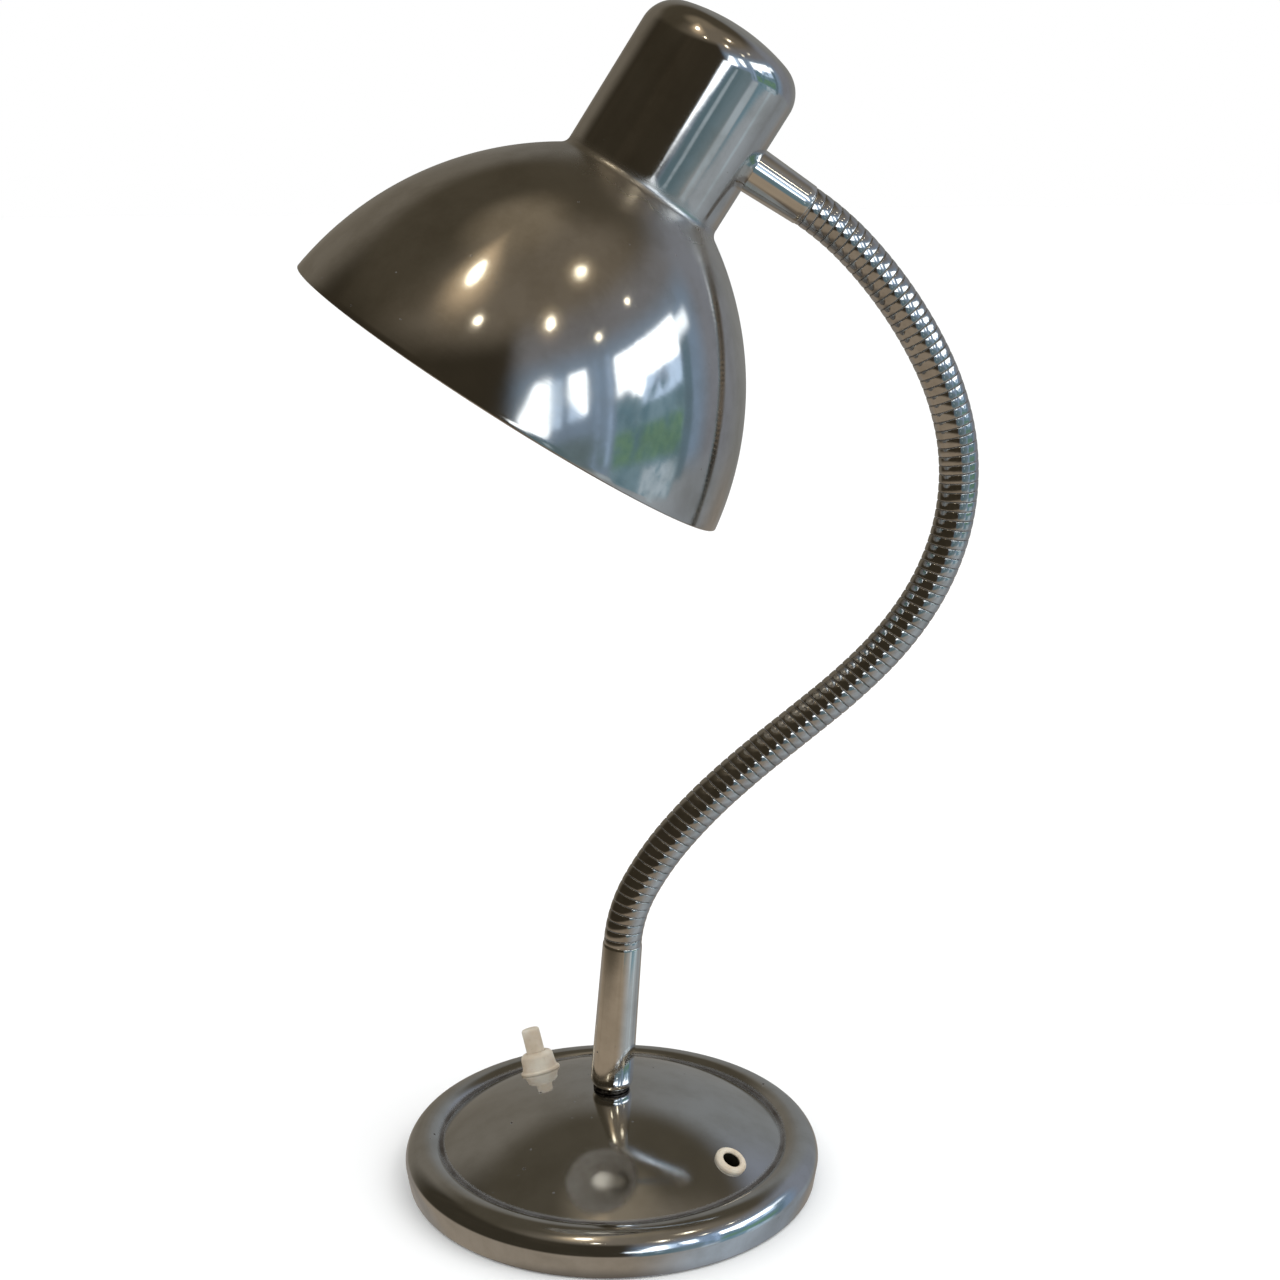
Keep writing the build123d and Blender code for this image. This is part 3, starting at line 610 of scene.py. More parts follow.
def write_inside(finish, place):
    """The shade's inside was never polished: the plating lies satin over the spinning marks."""
    lines = finish.rings(finish.along(place, head.origin, head.z), 1400.0, 4.0, 0.7)
    cloud = finish.noise(place, 70.0, 3.0)
    return {"Base Color": finish.mix(cloud.ramp(0.3, 0.8), colour(196, 190, 180), colour(172, 165, 154)),
            "Metallic": 0.6, "Roughness": 0.42 + cloud * 0.12, "Normal": relief(finish, lines, 0.12)}


chrome_neck = surface("chrome_neck", write_neck)
chrome_inside = surface("chrome_inside", write_inside)
print("chrome finishes:", len(bpy.data.materials))

# %% [markdown]
# ## Plain finishes
# The pieces inside the base and the cap are seen through gaps or when the lamp is taken apart,
# and get the finish that such a piece has from its maker. The plainest of them need no more than
# one cloud, so one function writes them all from a few numbers.


# %% Finishes in which one cloud moves everything
def clouded(tones, scale, detail, gloss, wear, depth, metallic=0.0, share=None):
    """One noise moves the tone, the roughness (gloss plus wear) and the bump together."""

    def write(finish, place):
        cloud = finish.noise(place, scale, detail)
        tone = finish.mix(cloud.ramp(*share) if share else cloud, colour(*tones[0]), colour(*tones[1]))
        return {"Base Color": tone, "Metallic": metallic, "Roughness": gloss + cloud * wear,
                "Normal": relief(finish, cloud, depth)}

    return write


# two tones; the cloud's scale and detail; gloss, wear and depth; metal; the tones' ramp
simple = {"brass": clouded([(216, 178, 98), (150, 112, 58)], 300.0, 3.0, 0.26, 0.2, 0.08, 1.0, (0.3, 0.8)),
          "dark_plastic": clouded([(46, 38, 32), (66, 54, 44)], 400.0, 4.0, 0.42, 0.15, 0.15),
          "bulb_base_glass": clouded([(24, 24, 28), (40, 38, 40)], 300.0, 2.0, 0.2, 0.1, 0.05),
          "bulb_metal": clouded([(204, 204, 202), (170, 168, 164)], 350.0, 4.0, 0.3, 0.15, 0.1, 1.0),
          "flex_sheath": clouded([(34, 31, 29), (54, 50, 46)], 800.0, 3.0, 0.6, 0.2, 0.15),
          "core_sheath": clouded([(92, 50, 30), (120, 70, 44)], 800.0, 3.0, 0.6, 0.2, 0.15)}
write_tarnish = clouded([(38, 33, 28), (120, 114, 106)], 700.0, 3.0, 0.28, 0.2, 0.1, 0.9, (0.45, 0.8))
tarnish = surface("tarnished_ring", write_tarnish)
print("clouded finishes:", ", ".join(simple))

# %% [markdown]
# ## Finishes with a pattern of their own
# The push button and both bushes are a white plastic that has yellowed in broad clouds, while
# grime has gathered in fine specks where fingers don't reach, so it takes two noises. Zinc
# plated sheet shows the lines in which it was drawn, and cast iron shows its sand.


# %% Plastic, zinc and iron
def write_white_plastic(finish, place):
    """Yellowed white: broad warm clouds, fine grey grime, a soft worn gloss, and painted shade in marks."""
    age = finish.noise(place, 120.0, 3.0)
    grime = finish.noise(place, 900.0, 4.0, 0.65).ramp(0.55, 0.85)
    tone = finish.mix(age.ramp(0.3, 0.7), colour(204, 196, 180), colour(184, 168, 146))
    tone = finish.mix(grime * 0.45, tone, colour(118, 106, 90))
    # painted shade: where the mesh is marked, down the cord bush's bore, the colour goes almost black
    return {"Base Color": finish.mix(finish.hollow(), tone, colour(34, 31, 24)),
            "Roughness": 0.34 + age * 0.2, "Specular IOR Level": 0.45,
            "Subsurface Weight": 0.08, "Subsurface Radius": (0.003, 0.002, 0.001),
            "Normal": relief(finish, finish.noise(place, 500.0, 3.0), 0.08)}


def write_zinc(finish, place):
    """Zinc plated steel, with the faint clouds and drawn lines of sheet and bar."""
    lines = finish.noise(finish.stretch(place, (1.0, 1.0, 18.0)), 500.0, 3.0)
    cloud = finish.noise(place, 180.0, 2.0)
    return {"Base Color": finish.mix(cloud, colour(168, 166, 158), colour(196, 192, 180)),
            "Metallic": 1.0, "Roughness": 0.34 + cloud * 0.14, "Normal": relief(finish, lines, 0.12)}


def write_iron(finish, place):
    """Cast iron: a sandy grain and rusty clouds."""
    grain = finish.noise(place, 1500.0, 4.0, 0.7)
    rust = finish.noise(place, 60.0, 3.0).ramp(0.5, 0.75)
    return {"Base Color": finish.mix(rust, colour(58, 56, 54), colour(96, 62, 42)),
            "Metallic": 0.75 - rust * 0.5, "Roughness": 0.62 + grain * 0.2,
            "Normal": relief(finish, grain, 0.5)}


print("patterned finishes: yellowed plastic, zinc plated steel and cast iron")

# %% [markdown]
# ## Glaze, opal glass and felt
# A glaze is a clear, shiny coat over a body with a few dark specks, and light spreads a little
# inside opal glass. Felt is fibres that lie in all directions, so it adds up three noises, each
# stretched into lines and turned another way.


# %% Porcelain, opal glass and felt
def write_porcelain(finish, place):
    """Glazed porcelain: a warm white body under a wavy clear glaze, with a few dark specks."""
    speck = finish.cell(place, 420.0).ramp(0.12, 0.05)
    body = finish.noise(place, 60.0, 2.0)
    tone = finish.mix(body, colour(236, 230, 216), colour(224, 216, 198))
    return {"Base Color": finish.mix(speck * 0.7, tone, colour(96, 80, 62)),
            "Roughness": 0.18 + body * 0.06, "Coat Weight": 0.5,
            "Normal": relief(finish, finish.noise(place, 120.0, 2.0), 0.08)}


def write_opal(finish, place):
    """Opal bulb glass: an even milky white with a clear, shiny outside."""
    milk = finish.noise(place, 45.0, 2.0)
    return {"Base Color": finish.mix(milk, colour(226, 218, 202), colour(212, 202, 184)),
            "Roughness": 0.12 + milk * 0.05, "Coat Weight": 0.6,
            "Subsurface Weight": 0.15, "Subsurface Radius": (0.004, 0.004, 0.004),
            "Normal": relief(finish, finish.noise(place, 90.0, 1.0), 0.02)}


def write_felt(finish, place):
    """Pressed felt: short fibres in every direction, dark green and worn pale in places."""
    ways = [finish.stretch(place, (1.0, 14.0, 1.0), (0, 0, angle)) for angle in (0.3, 1.4, 2.5)]
    level, slanted, steep = (finish.noise(way, 420.0, 3.0, 0.7) for way in ways)
    fibre = (level + slanted + steep) / 3
    wear = finish.noise(place, 30.0, 3.0).ramp(0.45, 0.8)
    tone = finish.mix(fibre.ramp(0.35, 0.65), colour(26, 40, 32), colour(56, 76, 62))
    return {"Base Color": finish.mix(wear * 0.4, tone, colour(96, 104, 90)),
            "Roughness": 0.95 - fibre * 0.1, "Sheen Weight": 0.3, "Sheen Roughness": 0.5,
            "Normal": relief(finish, fibre, 0.9)}


finishes = {**simple, "white_plastic": write_white_plastic, "zinc_steel": write_zinc,
            "spring_steel": write_zinc, "cast_iron": write_iron, "porcelain": write_porcelain,
            "bulb_glass": write_opal, "felt": write_felt}
materials = {slot: surface(slot, write) for slot, write in finishes.items()}
materials.update({"chrome": lit_chrome_sleeve, "neck_chrome": chrome_neck})
print("finishes:", ", ".join(sorted(materials)))

# %% [markdown]
# ## Dressing the frame
# Each solid of the frame gets the finish of its slot in the record. A surface made here says
# three things: which body carries it, which finish slot it takes, and which solids it stands for.

# %% Finish every solid, and a helper for new pieces
slot_of = {row["node"]: row["material_slot"] for row in frame["record"]["subparts"]}
body_of = {node: body for body, nodes in frame["record"]["behaviour"]["bodies"].items() for node in nodes}
for node, solid in frame["nodes"].items():
    solid.data.materials.clear()
    solid.data.materials.append(materials[slot_of[node]])


def stand_for(piece, node, material=None):
    """The piece takes a solid's slot and stands for that solid, in its slot's finish or another."""
    piece.data.materials.clear()
    piece.data.materials.append(material or materials[slot_of[node]])
    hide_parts(node)


def dress(piece, node, material=None, body=None):
    """The piece stands for a solid and rides on that solid's body, or on the one named."""
    stand_for(piece, node, material)
    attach(piece, body or body_of[node])
    print("%-16s %7d triangles" % (piece.name, triangles(piece)))
    return piece


print("solids with a finish:", len(frame["nodes"]))

# %% [markdown]
# ## The base cover
# The cover is pressed from one sheet: a lip under the edge, a side that leans out a little, a
# fat rolled bead, a crease, and a shallow dome. Each stretch is an arc that meets the next, and
# a small hollow fillet softens the crease, as a press tool does. The sheet's inside is the same
# outline, one wall in. The outline stops at the stem's hole; holes for the switch and the cord bush are cut last.

# %% Base cover
stem_hole = 5.0
switch_hole = 5.0
inlet_hole = 4.5
sheet_reach = 4.0


def degrees_from(centre, point):
    """The direction from one point to another, in degrees."""
    return math.degrees(math.atan2(point[1] - centre[1], point[0] - centre[0]))


def dome_edge(curve):
    """The angle at which an arc of the dome reaches the stem's hole."""
    return math.degrees(math.acos(stem_hole / curve))


roll_end = degrees_from(ring_top, fillet_centre)
dome_start = degrees_from(ball, fillet_centre)
outside = [arc((lip_radius + 0.5, 0.9), 0.5, 180, 270, 30),
           arc((base_radius - 1.9, 1.2), 0.8, 270, 350, 20),
           arc(ring_low, bead_outer_roll, 0, 90, 2.5),
           arc(ring_top, bead_inner_roll, 90, roll_end, 2.5),
           arc(fillet_centre, crease_fillet, roll_end - 180, dome_start - 180, 6.0),
           arc(ball, dome_curve, dome_start, dome_edge(dome_curve), 0.45)]
inner_curve = dome_curve - cover_wall
inner_roll = bead_inner_roll - cover_wall
inner_crease = touch(inner_roll, inner_curve)
inside = [arc(ball, inner_curve, dome_edge(inner_curve), degrees_from(ball, inner_crease), 1.5),
          arc(ring_top, inner_roll, degrees_from(ring_top, inner_crease), 90, 8),
          arc(ring_low, bead_outer_roll - cover_wall, 90, 0, 8),
          [(base_radius - 2.1, 1.5), (lip_radius, 1.4)]]
base_cover = lathe("base_cover_skin", np.vstack(outside + inside), upright, 256)
drill(base_cover, switch, switch_hole, -sheet_reach, sheet_reach)
drill(base_cover, inlet, inlet_hole, -sheet_reach, sheet_reach)
dress(base_cover, "base_cover", chrome_base)

# %% [markdown]
# ## Felt and ring
# The felt is a disc with a soft edge, laid under the plate. Between dome and stem sits a small
# tarnished ring, which the photograph shows as a dark line with sparks in it. Both are turned
# from a flat outline whose corners are rounded, as a file rounds the edges of the real ones.

# %% Felt and foot ring
felt_radius = 68.4
felt_thickness = 1.4
felt = lathe("felt_pad", rounded([(0, 0), (felt_radius, 0, 0.45), (felt_radius, felt_thickness, 0.25),
                                  (0, felt_thickness)]), upright, 192, loop=False)
dress(felt, "base_felt")

ring_radius = 6.3
ring_bore = 5.0
ring_outline = rounded([(ring_bore, 0), (ring_radius, 0, 0.3), (ring_radius, foot_ring_height, 0.45),
                        (ring_bore, foot_ring_height)])
on_top = Place((0, 0, dome_height), (0, 0, 1), (1, 0, 0))
dress(lathe("foot_ring_skin", ring_outline, on_top), "foot_ring", tarnish)

# %% [markdown]
# ## The stem tube
# The stem is drawn straight up and leaned over afterwards. It is rounded in at its foot, widest
# just above, and tapers to the neck. Its foot is cut level, so points that would lie below the
# ring's top are slid back up along the tube.

# %% Lower ferrule
stem_widest = 7.4
stem_bore = 5.4
foot_bore = 5.7
stem_profile = np.vstack([arc((3.0, 3.1), 4.4, -52, 3, 6), [(stem_widest, 4.2), (7.05, 28.0), (6.75, 51.8)],
                          arc((6.3, ferrule_length - 0.4), 0.4, 10, 90, 20),
                          [(stem_bore, ferrule_length), (stem_bore, 14.0), (foot_bore + 0.05, 13.6),
                           (foot_bore, -1)]])
stem_grid = stem.put(turned(stem_profile, 128))
below = np.maximum(stem_foot[2] - stem_grid[..., 2:], 0.0)
stem_grid = stem_grid + below / stem.z[2] * stem.z
dress(skin("lower_ferrule_skin", stem_grid, merge=2e-5), "lower_ferrule")

# %% [markdown]
# ## The wound neck
# The neck is two wires wound into each other, so its outside is one long screw: each winding is
# a low crown, and a narrow dark groove runs between two windings. The grid's rows follow the
# groove round the tube, climbing one pitch per turn, so the groove stays crisp with few points.

# %% The shape of a winding
# a winding's rows, as shares of its pitch: the groove, at 0 and 1, needs them closest
winding_rows = np.array([0.0, 0.03, 0.055, 0.08, 0.12, 0.2, 0.3, 0.4,
                         0.5, 0.6, 0.7, 0.8, 0.88, 0.92, 0.945, 0.97])
groove_half = 0.075
groove_depth = 0.3
crown_depth = 0.1
neck_columns = 73
# the tails run on inside the ferrules, and their mark paints them dark as shade
tail_shade_mark = 0.6


def winding(distance, angle):
    """The radius: full, less a low crown's parabola, less a smooth groove. And the groove's share."""
    phase = np.mod(distance / rib_pitch - angle / (2 * np.pi), 1.0)
    aside = np.minimum(phase, 1.0 - phase)
    groove = np.clip(1.0 - aside / groove_half, 0.0, 1.0)
    groove = groove * groove * (3 - 2 * groove)
    crown = (1.0 - 2.0 * aside) ** 2
    return neck_radius - crown_depth * crown - groove_depth * groove, groove


def neck_ring(distance, radius, angle):
    """Points round the neck's line: across it by the cosine, sideways by the sine."""
    middle, heading = neck_line(distance)
    out = np.stack([np.sin(heading), np.zeros_like(heading), -np.cos(heading)], -1)
    aside = (radius * np.cos(angle))[..., None] * out
    return middle + aside + (radius * np.sin(angle))[..., None] * np.array([0.0, 1.0, 0.0])


def plain_rows(stops, radius, mark, angle):
    """Rows of a smooth round tube: their distances, their radius and their mark."""
    distance = np.asarray(stops)[:, None] + 0 * angle
    return distance, np.full(distance.shape, radius), np.full(distance.shape, mark)


def neck_piece(name, low, high):
    """The windings from one cut to the next, a tail past the neck's end, and back down the bore."""
    angle = once_round(neck_columns)
    ends = np.clip([low, high], 0.0, neck_span)
    turns = np.arange(math.floor(ends[0] / rib_pitch) - 1, math.ceil(ends[1] / rib_pitch) + 1)
    starts = (turns[:, None] + winding_rows).ravel() * rib_pitch
    distance = np.clip(starts[:, None] + rib_pitch * angle / (2 * np.pi), *ends)
    rows = [(distance, *winding(distance, angle))]
    if low < 0:
        rows.insert(0, plain_rows([low, 0.0], tail_radius, tail_shade_mark, angle))
    if high > neck_span:
        rows.append(plain_rows([neck_span, high], tail_radius, tail_shade_mark, angle))
    # the bore's rows get a full mark, so they are painted dark as shade
    rows.append(plain_rows(np.linspace(high, low, 9), neck_bore, 1.0, angle))
    distance, radius, hollow = (np.vstack(part) for part in zip(*rows))
    return skin(name, neck_ring(distance, radius, angle), marks=hollow, crease=coarse_limit)


print("a groove is %.2f mm wide and %.1f mm deep" % (2 * groove_half * rib_pitch, groove_depth))

# %% [markdown]
# ## Cutting the neck
# The lamp bends here, so the neck is cut into fifteen pieces at the middle of each rigid length,
# one round each hinge.


def cuts(k):
    """Where the piece round hinge k begins and ends, along the neck."""
    return (k - 0.5) * length_span, (k + 0.5) * length_span


def bend_with(piece, node):
    """The piece takes a neck solid's slot and finish, and its place is baked into its mesh."""
    stand_for(piece, node)
    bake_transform(piece)


hinges = range(1, len(neck_turns))
dress(neck_piece("neck_skin_00", -tail_length, cuts(0)[1]), "neck_01")
for k in hinges:
    bending = neck_piece("neck_skin_%02d" % k, *cuts(k))
    bend_with(bending, "neck_%02d" % (k + 1))
dress(neck_piece("neck_skin_14", cuts(len(neck_turns))[0], neck_span + tail_length), "neck_14")
print("a bending piece of the neck has", triangles(bending), "triangles")

# %% [markdown]
# ## The flex inside the neck
# The two-core flex runs from the terminal block in the base, up the stem and through the whole
# neck to the cap. It bends wherever the neck bends, so it is cut at the same places.

# %% A pipe along a line
def pipe(name, line, radius, columns=25):
    """A round tube along points in the neck's plane or beside it, closed by its two ends."""
    line = np.asarray(line, float)
    ahead = np.gradient(line, axis=0)
    ahead /= np.linalg.norm(ahead, axis=1)[:, None]
    side = np.cross(ahead, [0.0, 1.0, 0.0])
    side /= np.linalg.norm(side, axis=1)[:, None]
    other = np.cross(ahead, side)
    angle = once_round(columns)
    round_it = np.cos(angle)[:, None] * side[:, None] + np.sin(angle)[:, None] * other[:, None]
    rings = line[:, None] + radius * round_it
    first = np.repeat(line[:1, None], columns, axis=1)
    final = np.repeat(line[-1:, None], columns, axis=1)
    return skin(name, np.concatenate([first, rings, final]), loop=False, crease=coarse_limit)


def through_corner(before, corner, after, steps=9):
    """A soft corner: the quadratic curve from one point to another, drawn towards the corner."""
    t = np.linspace(0, 1, steps)[:, None]
    before, corner, after = (np.asarray(point) for point in (before, corner, after))
    return (1 - t) ** 2 * before + 2 * t * (1 - t) * corner + t * t * after


print("a soft corner has", len(through_corner((1, 0), (0, 0), (0, 1))), "points")

# %% [markdown]
# ## The flex's way
# From the terminal block the flex runs level, turns up in a soft corner below the stem, and then
# follows the neck's line. In the cap it ends a few millimetres past the middle.

# %% Inner flex
flex_radius = 2.3
flex_end = 6.0
block_level = 16.1
block_reach = 22.0
corner_reach = 9.0
floor_corner = np.array([0.0, 0.0, block_level])
toward_block = unit([1.0, 1.0, 0.0])
up = np.array([0.0, 0.0, 1.0])
before_corner = floor_corner + toward_block * corner_reach
lead = np.vstack([np.linspace(toward_block * block_reach + floor_corner, before_corner, 4)[:-1],
                  through_corner(before_corner, floor_corner, floor_corner + up * corner_reach),
                  [stem_foot - up * 4.0], neck_line([-48.0, -36.0, -24.0, -12.0])[0],
                  neck_line(np.linspace(0, cuts(0)[1], 5))[0]])
dress(pipe("flex_lead", lead, flex_radius), "neck_flex")
for k in hinges:
    bend_with(pipe("flex_%02d" % k, neck_line(np.linspace(*cuts(k), 9))[0], flex_radius), "neck_flex")
flex_top = neck_span + upper_reach + cap_radius - flex_end
tail_line = neck_line(np.linspace(cuts(len(neck_turns))[0], flex_top, 7))[0]
dress(pipe("flex_top", tail_line, flex_radius), "neck_flex", body="head")

# %% [markdown]
# ## The upper ferrule
# The short sleeve between neck and cap tapers outwards and is saddled: its end follows the
# round cap. Every line along the sleeve therefore starts where it meets the cap's cylinder, at
# the square root of the cap's radius squared less the line's sideways distance squared.

# %% Upper ferrule
sleeve_far = cap_radius + upper_reach
sleeve_near = cap_radius - 1.0
sleeve_wide = 7.4
sleeve_narrow = 6.7
sleeve_bore = 5.4
saddle_gap = 0.03
mouth_rounding = 0.3
sleeve_columns = 128


def sleeve_rows(radius_near, radius_far, shares, mouth=0.0):
    """Rows from the saddle to the mouth; the radius falls evenly along the sleeve."""
    angle = once_round(sleeve_columns + 1)
    start = np.sqrt((cap_radius + saddle_gap) ** 2 - (radius_near * np.cos(angle)) ** 2)
    distance = start + (sleeve_far - mouth - start) * np.asarray(shares)[:, None]
    share = (distance - sleeve_near) / (sleeve_far - sleeve_near)
    radius = radius_near + (radius_far - radius_near) * share
    return entry.put(on_rings(radius, angle, distance))


shares = np.linspace(0, 1, 12)
lip_angle = np.radians([25, 50, 75, 90])
lip_centre = np.array([sleeve_narrow, sleeve_far]) - mouth_rounding
lip = lip_centre + mouth_rounding * np.stack([np.cos(lip_angle), np.sin(lip_angle)], -1)
outer_rows = sleeve_rows(sleeve_wide, sleeve_narrow, shares, mouth_rounding)
inner_rows = sleeve_rows(sleeve_bore, sleeve_bore, shares[::-1])
mouth_rows = entry.put(turned(lip, sleeve_columns))
dress(skin("upper_ferrule_skin", np.concatenate([outer_rows, mouth_rows, inner_rows])), "upper_ferrule")

# %% [markdown]
# ## The shade
# The shade is spun from one disc of metal: a bell whose side is one big arc, a tight hollow
# throat, and a tall cap with a rounded shoulder and a low crown. The rim is turned inwards into
# a small hem. Outside and inside are one closed profile, a wall apart.

# %% The shade's outline
dome_arc = 108.5
arc_centre = (-30.2, -15.7)
throat_fillet = 3.2
cap_corner = 11.0
cap_crown = 65.0
cap_inset = 0.02
shade_wall = 0.8
hem_height = 2.2
hem_depth = 1.5


def shade_side(depth, fine):
    """The bell's arc, the hollow throat, the straight cap, its shoulder and its crown."""
    radius = dome_arc - depth
    throat_x = cap_radius + throat_fillet
    throat_z = arc_centre[1] + math.sqrt((dome_arc + throat_fillet) ** 2 - (throat_x - arc_centre[0]) ** 2)
    meet = math.degrees(math.asin((throat_z - arc_centre[1]) / (dome_arc + throat_fillet)))
    crown_z = cap_height - cap_inset - cap_crown
    corner_x = cap_radius - cap_corner
    corner_z = crown_z + math.sqrt((cap_crown - cap_corner) ** 2 - corner_x ** 2)
    lift = math.degrees(math.asin((corner_z - crown_z) / (cap_crown - cap_corner)))
    rim = math.degrees(math.asin((hem_height - arc_centre[1]) / radius))
    straight = np.stack([np.full(12, cap_radius - depth), np.linspace(throat_z, corner_z, 12)], -1)[1:-1]
    return [arc(arc_centre, radius, rim, meet, fine),
            arc((throat_x, throat_z), throat_fillet + depth, 180 + meet, 180, 6 * fine), straight,
            arc((corner_x, corner_z), cap_corner - depth, 0, lift, 3 * fine),
            arc((0, crown_z), cap_crown - depth, lift, 90, 1.2 * fine)]


rim_radius = arc_centre[0] + math.sqrt(dome_arc ** 2 - arc_centre[1] ** 2)
hem = rounded([(rim_radius - 0.9, hem_height - 0.2), (rim_radius - hem_depth, 1.7, 0.4),
               (rim_radius - hem_depth, 0.0, 0.5), (rim_radius, 0.0, 0.45),
               (rim_radius - 0.3, 2.1)], 25.0)[:-1]
shade_profile = np.vstack([hem, *shade_side(0.0, 0.8), np.vstack(shade_side(shade_wall, 1.6))[::-1]])
print("the rim is %.1f mm across, the outline has %d points" % (2 * rim_radius, len(shade_profile)))

# %% [markdown]
# ## Two finishes on one skin
# The mesh carries two materials, and each face picks one. A face belongs to the inside where it
# looks towards the shade's axis, or down towards the rim, and lies above the hem.

# %% Shade
wire_hole = 5.0
shade = lathe("shade_skin", shade_profile, head, 256)
drill(shade, entry, wire_hole, cap_radius - 6.0, cap_radius + 2.0)
dress(shade, "shade", chrome_shade)
shade.data.materials.append(chrome_inside)
centres = np.zeros(len(shade.data.polygons) * 3, np.float32)
shade.data.polygons.foreach_get("center", centres)
normals = np.zeros_like(centres)
shade.data.polygons.foreach_get("normal", normals)
local = centres.reshape(-1, 3) / metre - head.origin
normals = normals.reshape(-1, 3)
height = local @ head.z
radial = local - height[:, None] * head.z
inward = (normals * radial).sum(-1) - 0.3 * (normals @ head.z)
is_inside = (inward < 0) & (height > hem_height - 0.3)
shade.data.polygons.foreach_set("material_index", is_inside.astype(np.int32))
shade.data.update()
print("inside faces:", int(is_inside.sum()), "of", len(is_inside))

# %% [markdown]
# ## Switch, button and cord bush
# The switch's bush has a thin flange that follows the dome, and a collar with a rounded top; the
# button slides in it. The cord bush is a low ring with a big round mouth for the cord.

# %% White plastic fittings
flange_drop = 0.24
collar_bore = 3.33
collar_height = 7.0
button_radius = 3.25
button_height = 15.6
mouth_radius = 3.05
bush = rounded([(collar_bore, -7.0), (4.9, -7.0), (4.9, -0.4), (7.1, -flange_drop, 0.12),
                (7.05, 0.5, 0.3), (6.35, 0.85, 0.7), (6.0, 2.6, 2.0), (5.75, collar_height, 2.1),
                (collar_bore, collar_height, 0.25)])
dress(lathe("switch_bush_skin", bush, switch), "switch_bush")
plunger = rounded([(0, -8.5), (4.3, -8.5), (4.3, -7.3), (button_radius, -7.3),
                   (button_radius, button_height, 0.9), (0, button_height - 0.25)])
dress(lathe("push_button_skin", plunger, switch, loop=False), "switch_plunger")
bush_ring = rounded([(mouth_radius, -6.0), (4.4, -6.0), (4.4, -0.1), (5.5, -0.14, 0.1), (5.45, 0.85, 0.45),
                     (4.7, 1.6, 0.5), (3.5, 1.6, 0.3), (mouth_radius, 1.1, 0.3), (mouth_radius, 0.5)])
# the bore's points are marked, and the white plastic paints shade there
bore_shade_mark = ((bush_ring[:, 0] < mouth_radius + 0.15) & (bush_ring[:, 1] < 0.9)).astype(float)
dress(lathe("cord_bush_skin", bush_ring, inlet, marks=bore_shade_mark), "inlet_bush")

# %% [markdown]
# ## The return spring
# Below the button a small spring pushes it back: a coil of wire that stands on the housing's floor.

# %% Spring
spring_floor = -16.5
spring_height = 7.2
spring_wire = 0.35
spring_radius = 3.4
spring_turns = 5
end_gap = spring_wire + 0.1
spin = np.linspace(0, 2 * np.pi * spring_turns, 24 * spring_turns + 1)
rise = spring_floor + end_gap + (spring_height - 2 * end_gap) * spin / spin[-1]
coil_line = switch.put(on_rings(spring_radius, spin, rise))
spring = dress(pipe("switch_spring_coil", coil_line, spring_wire, 9), "switch_spring")
tuple(switch.put([0, 0, spring_floor]) * metre)
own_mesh(spring)

# %% [markdown]
# ## The lampholder
# Seen from below, the shade holds a glazed porcelain lampholder. It hangs under a bracket that
# sits on the nut of the cap's nipple, so its height follows from the nut's corner.

# %% Porcelain body
nut_flat = 7.0
nut_corner = nut_flat / math.cos(math.pi / 6)
bracket_sheet = 1.2
holder_top = entry_height - nut_corner - bracket_sheet - 0.3
holder_mouth = holder_top - 36.0
disc_under = holder_top - 6.8
holder_radius = 18.0
skirt_radius = 17.3
holder_bore = 13.9
holder = rounded([(0, holder_top), (holder_radius, holder_top, 3.0),
                  (holder_radius, holder_mouth + 9.0, 0.8), (skirt_radius, holder_mouth + 8.0, 0.8),
                  (skirt_radius, holder_mouth, 1.0),
                  (holder_bore, holder_mouth, 0.6), (holder_bore, disc_under), (0, disc_under)])
dress(lathe("porcelain_holder", holder, head, 128, loop=False), "holder_body")

# %% [markdown]
# ## The bulb's glass
# The glass is a ball that runs through a hollow curve into its neck. The curve is tangent to
# both, so its radius follows from the two radii and the distance between them.

# %% Bulb glass
bulb_radius = 22.5
bulb_length = 78.0
glass_neck = 12.1
cap_length = 22.0
bulb_top = disc_under - 0.7
cap_edge = bulb_top - 1.2 - 2.6
cap_low = cap_edge - cap_length
bulb_middle = bulb_top - bulb_length + bulb_radius
waist = cap_low - 2.0
waist_rise = waist - bulb_middle
waist_curve = (waist_rise ** 2 + glass_neck ** 2 - bulb_radius ** 2) / (2 * (bulb_radius - glass_neck))
meeting = math.degrees(math.atan2(waist_rise, glass_neck + waist_curve))
glass_top = cap_low + 11.2
glass_profile = np.vstack([arc((0, bulb_middle), bulb_radius, -90, meeting),
                           arc((glass_neck + waist_curve, waist), waist_curve, 180 + meeting, 180)[1:],
                           [(glass_neck, glass_top), (0, glass_top)]])
dress(lathe("opal_bulb", glass_profile, head, 128, loop=False), "bulb_glass")

# %% [markdown]
# ## The bulb's screw cap
# The cap is rolled from thin metal. Its thread is a wave on the radius whose phase falls by one
# turn round the cap and grows by one over a pitch. It fades in and out near the cap's two ends.

# %% Screw cap
thread_pitch = 3.6
thread_depth = 0.7
thread_radius = 13.08
shell_end = 11.9
fade = 0.08
rows = np.linspace(0, 1, 49)[:, None]
angle = once_round(round_columns + 1)
level = cap_length * rows + 0 * angle
wave = 0.5 - 0.5 * np.cos(2 * np.pi * (level / thread_pitch - angle / (2 * np.pi)))
in_thread = np.clip((rows - 0.12) / fade, 0, 1) * np.clip((0.97 - rows) / fade, 0, 1)
radius = thread_radius - thread_depth * in_thread * wave
radius[-1] = shell_end
cap_grid = on_rings(radius, angle, cap_low + level)
closing = turned([(0.0, cap_edge), (0.0, cap_edge - 0.5), (12.15, cap_edge - 1.5), (12.15, cap_low)])
dress(skin("bulb_screw_cap", head.put(np.concatenate([cap_grid, closing]))), "bulb_cap")

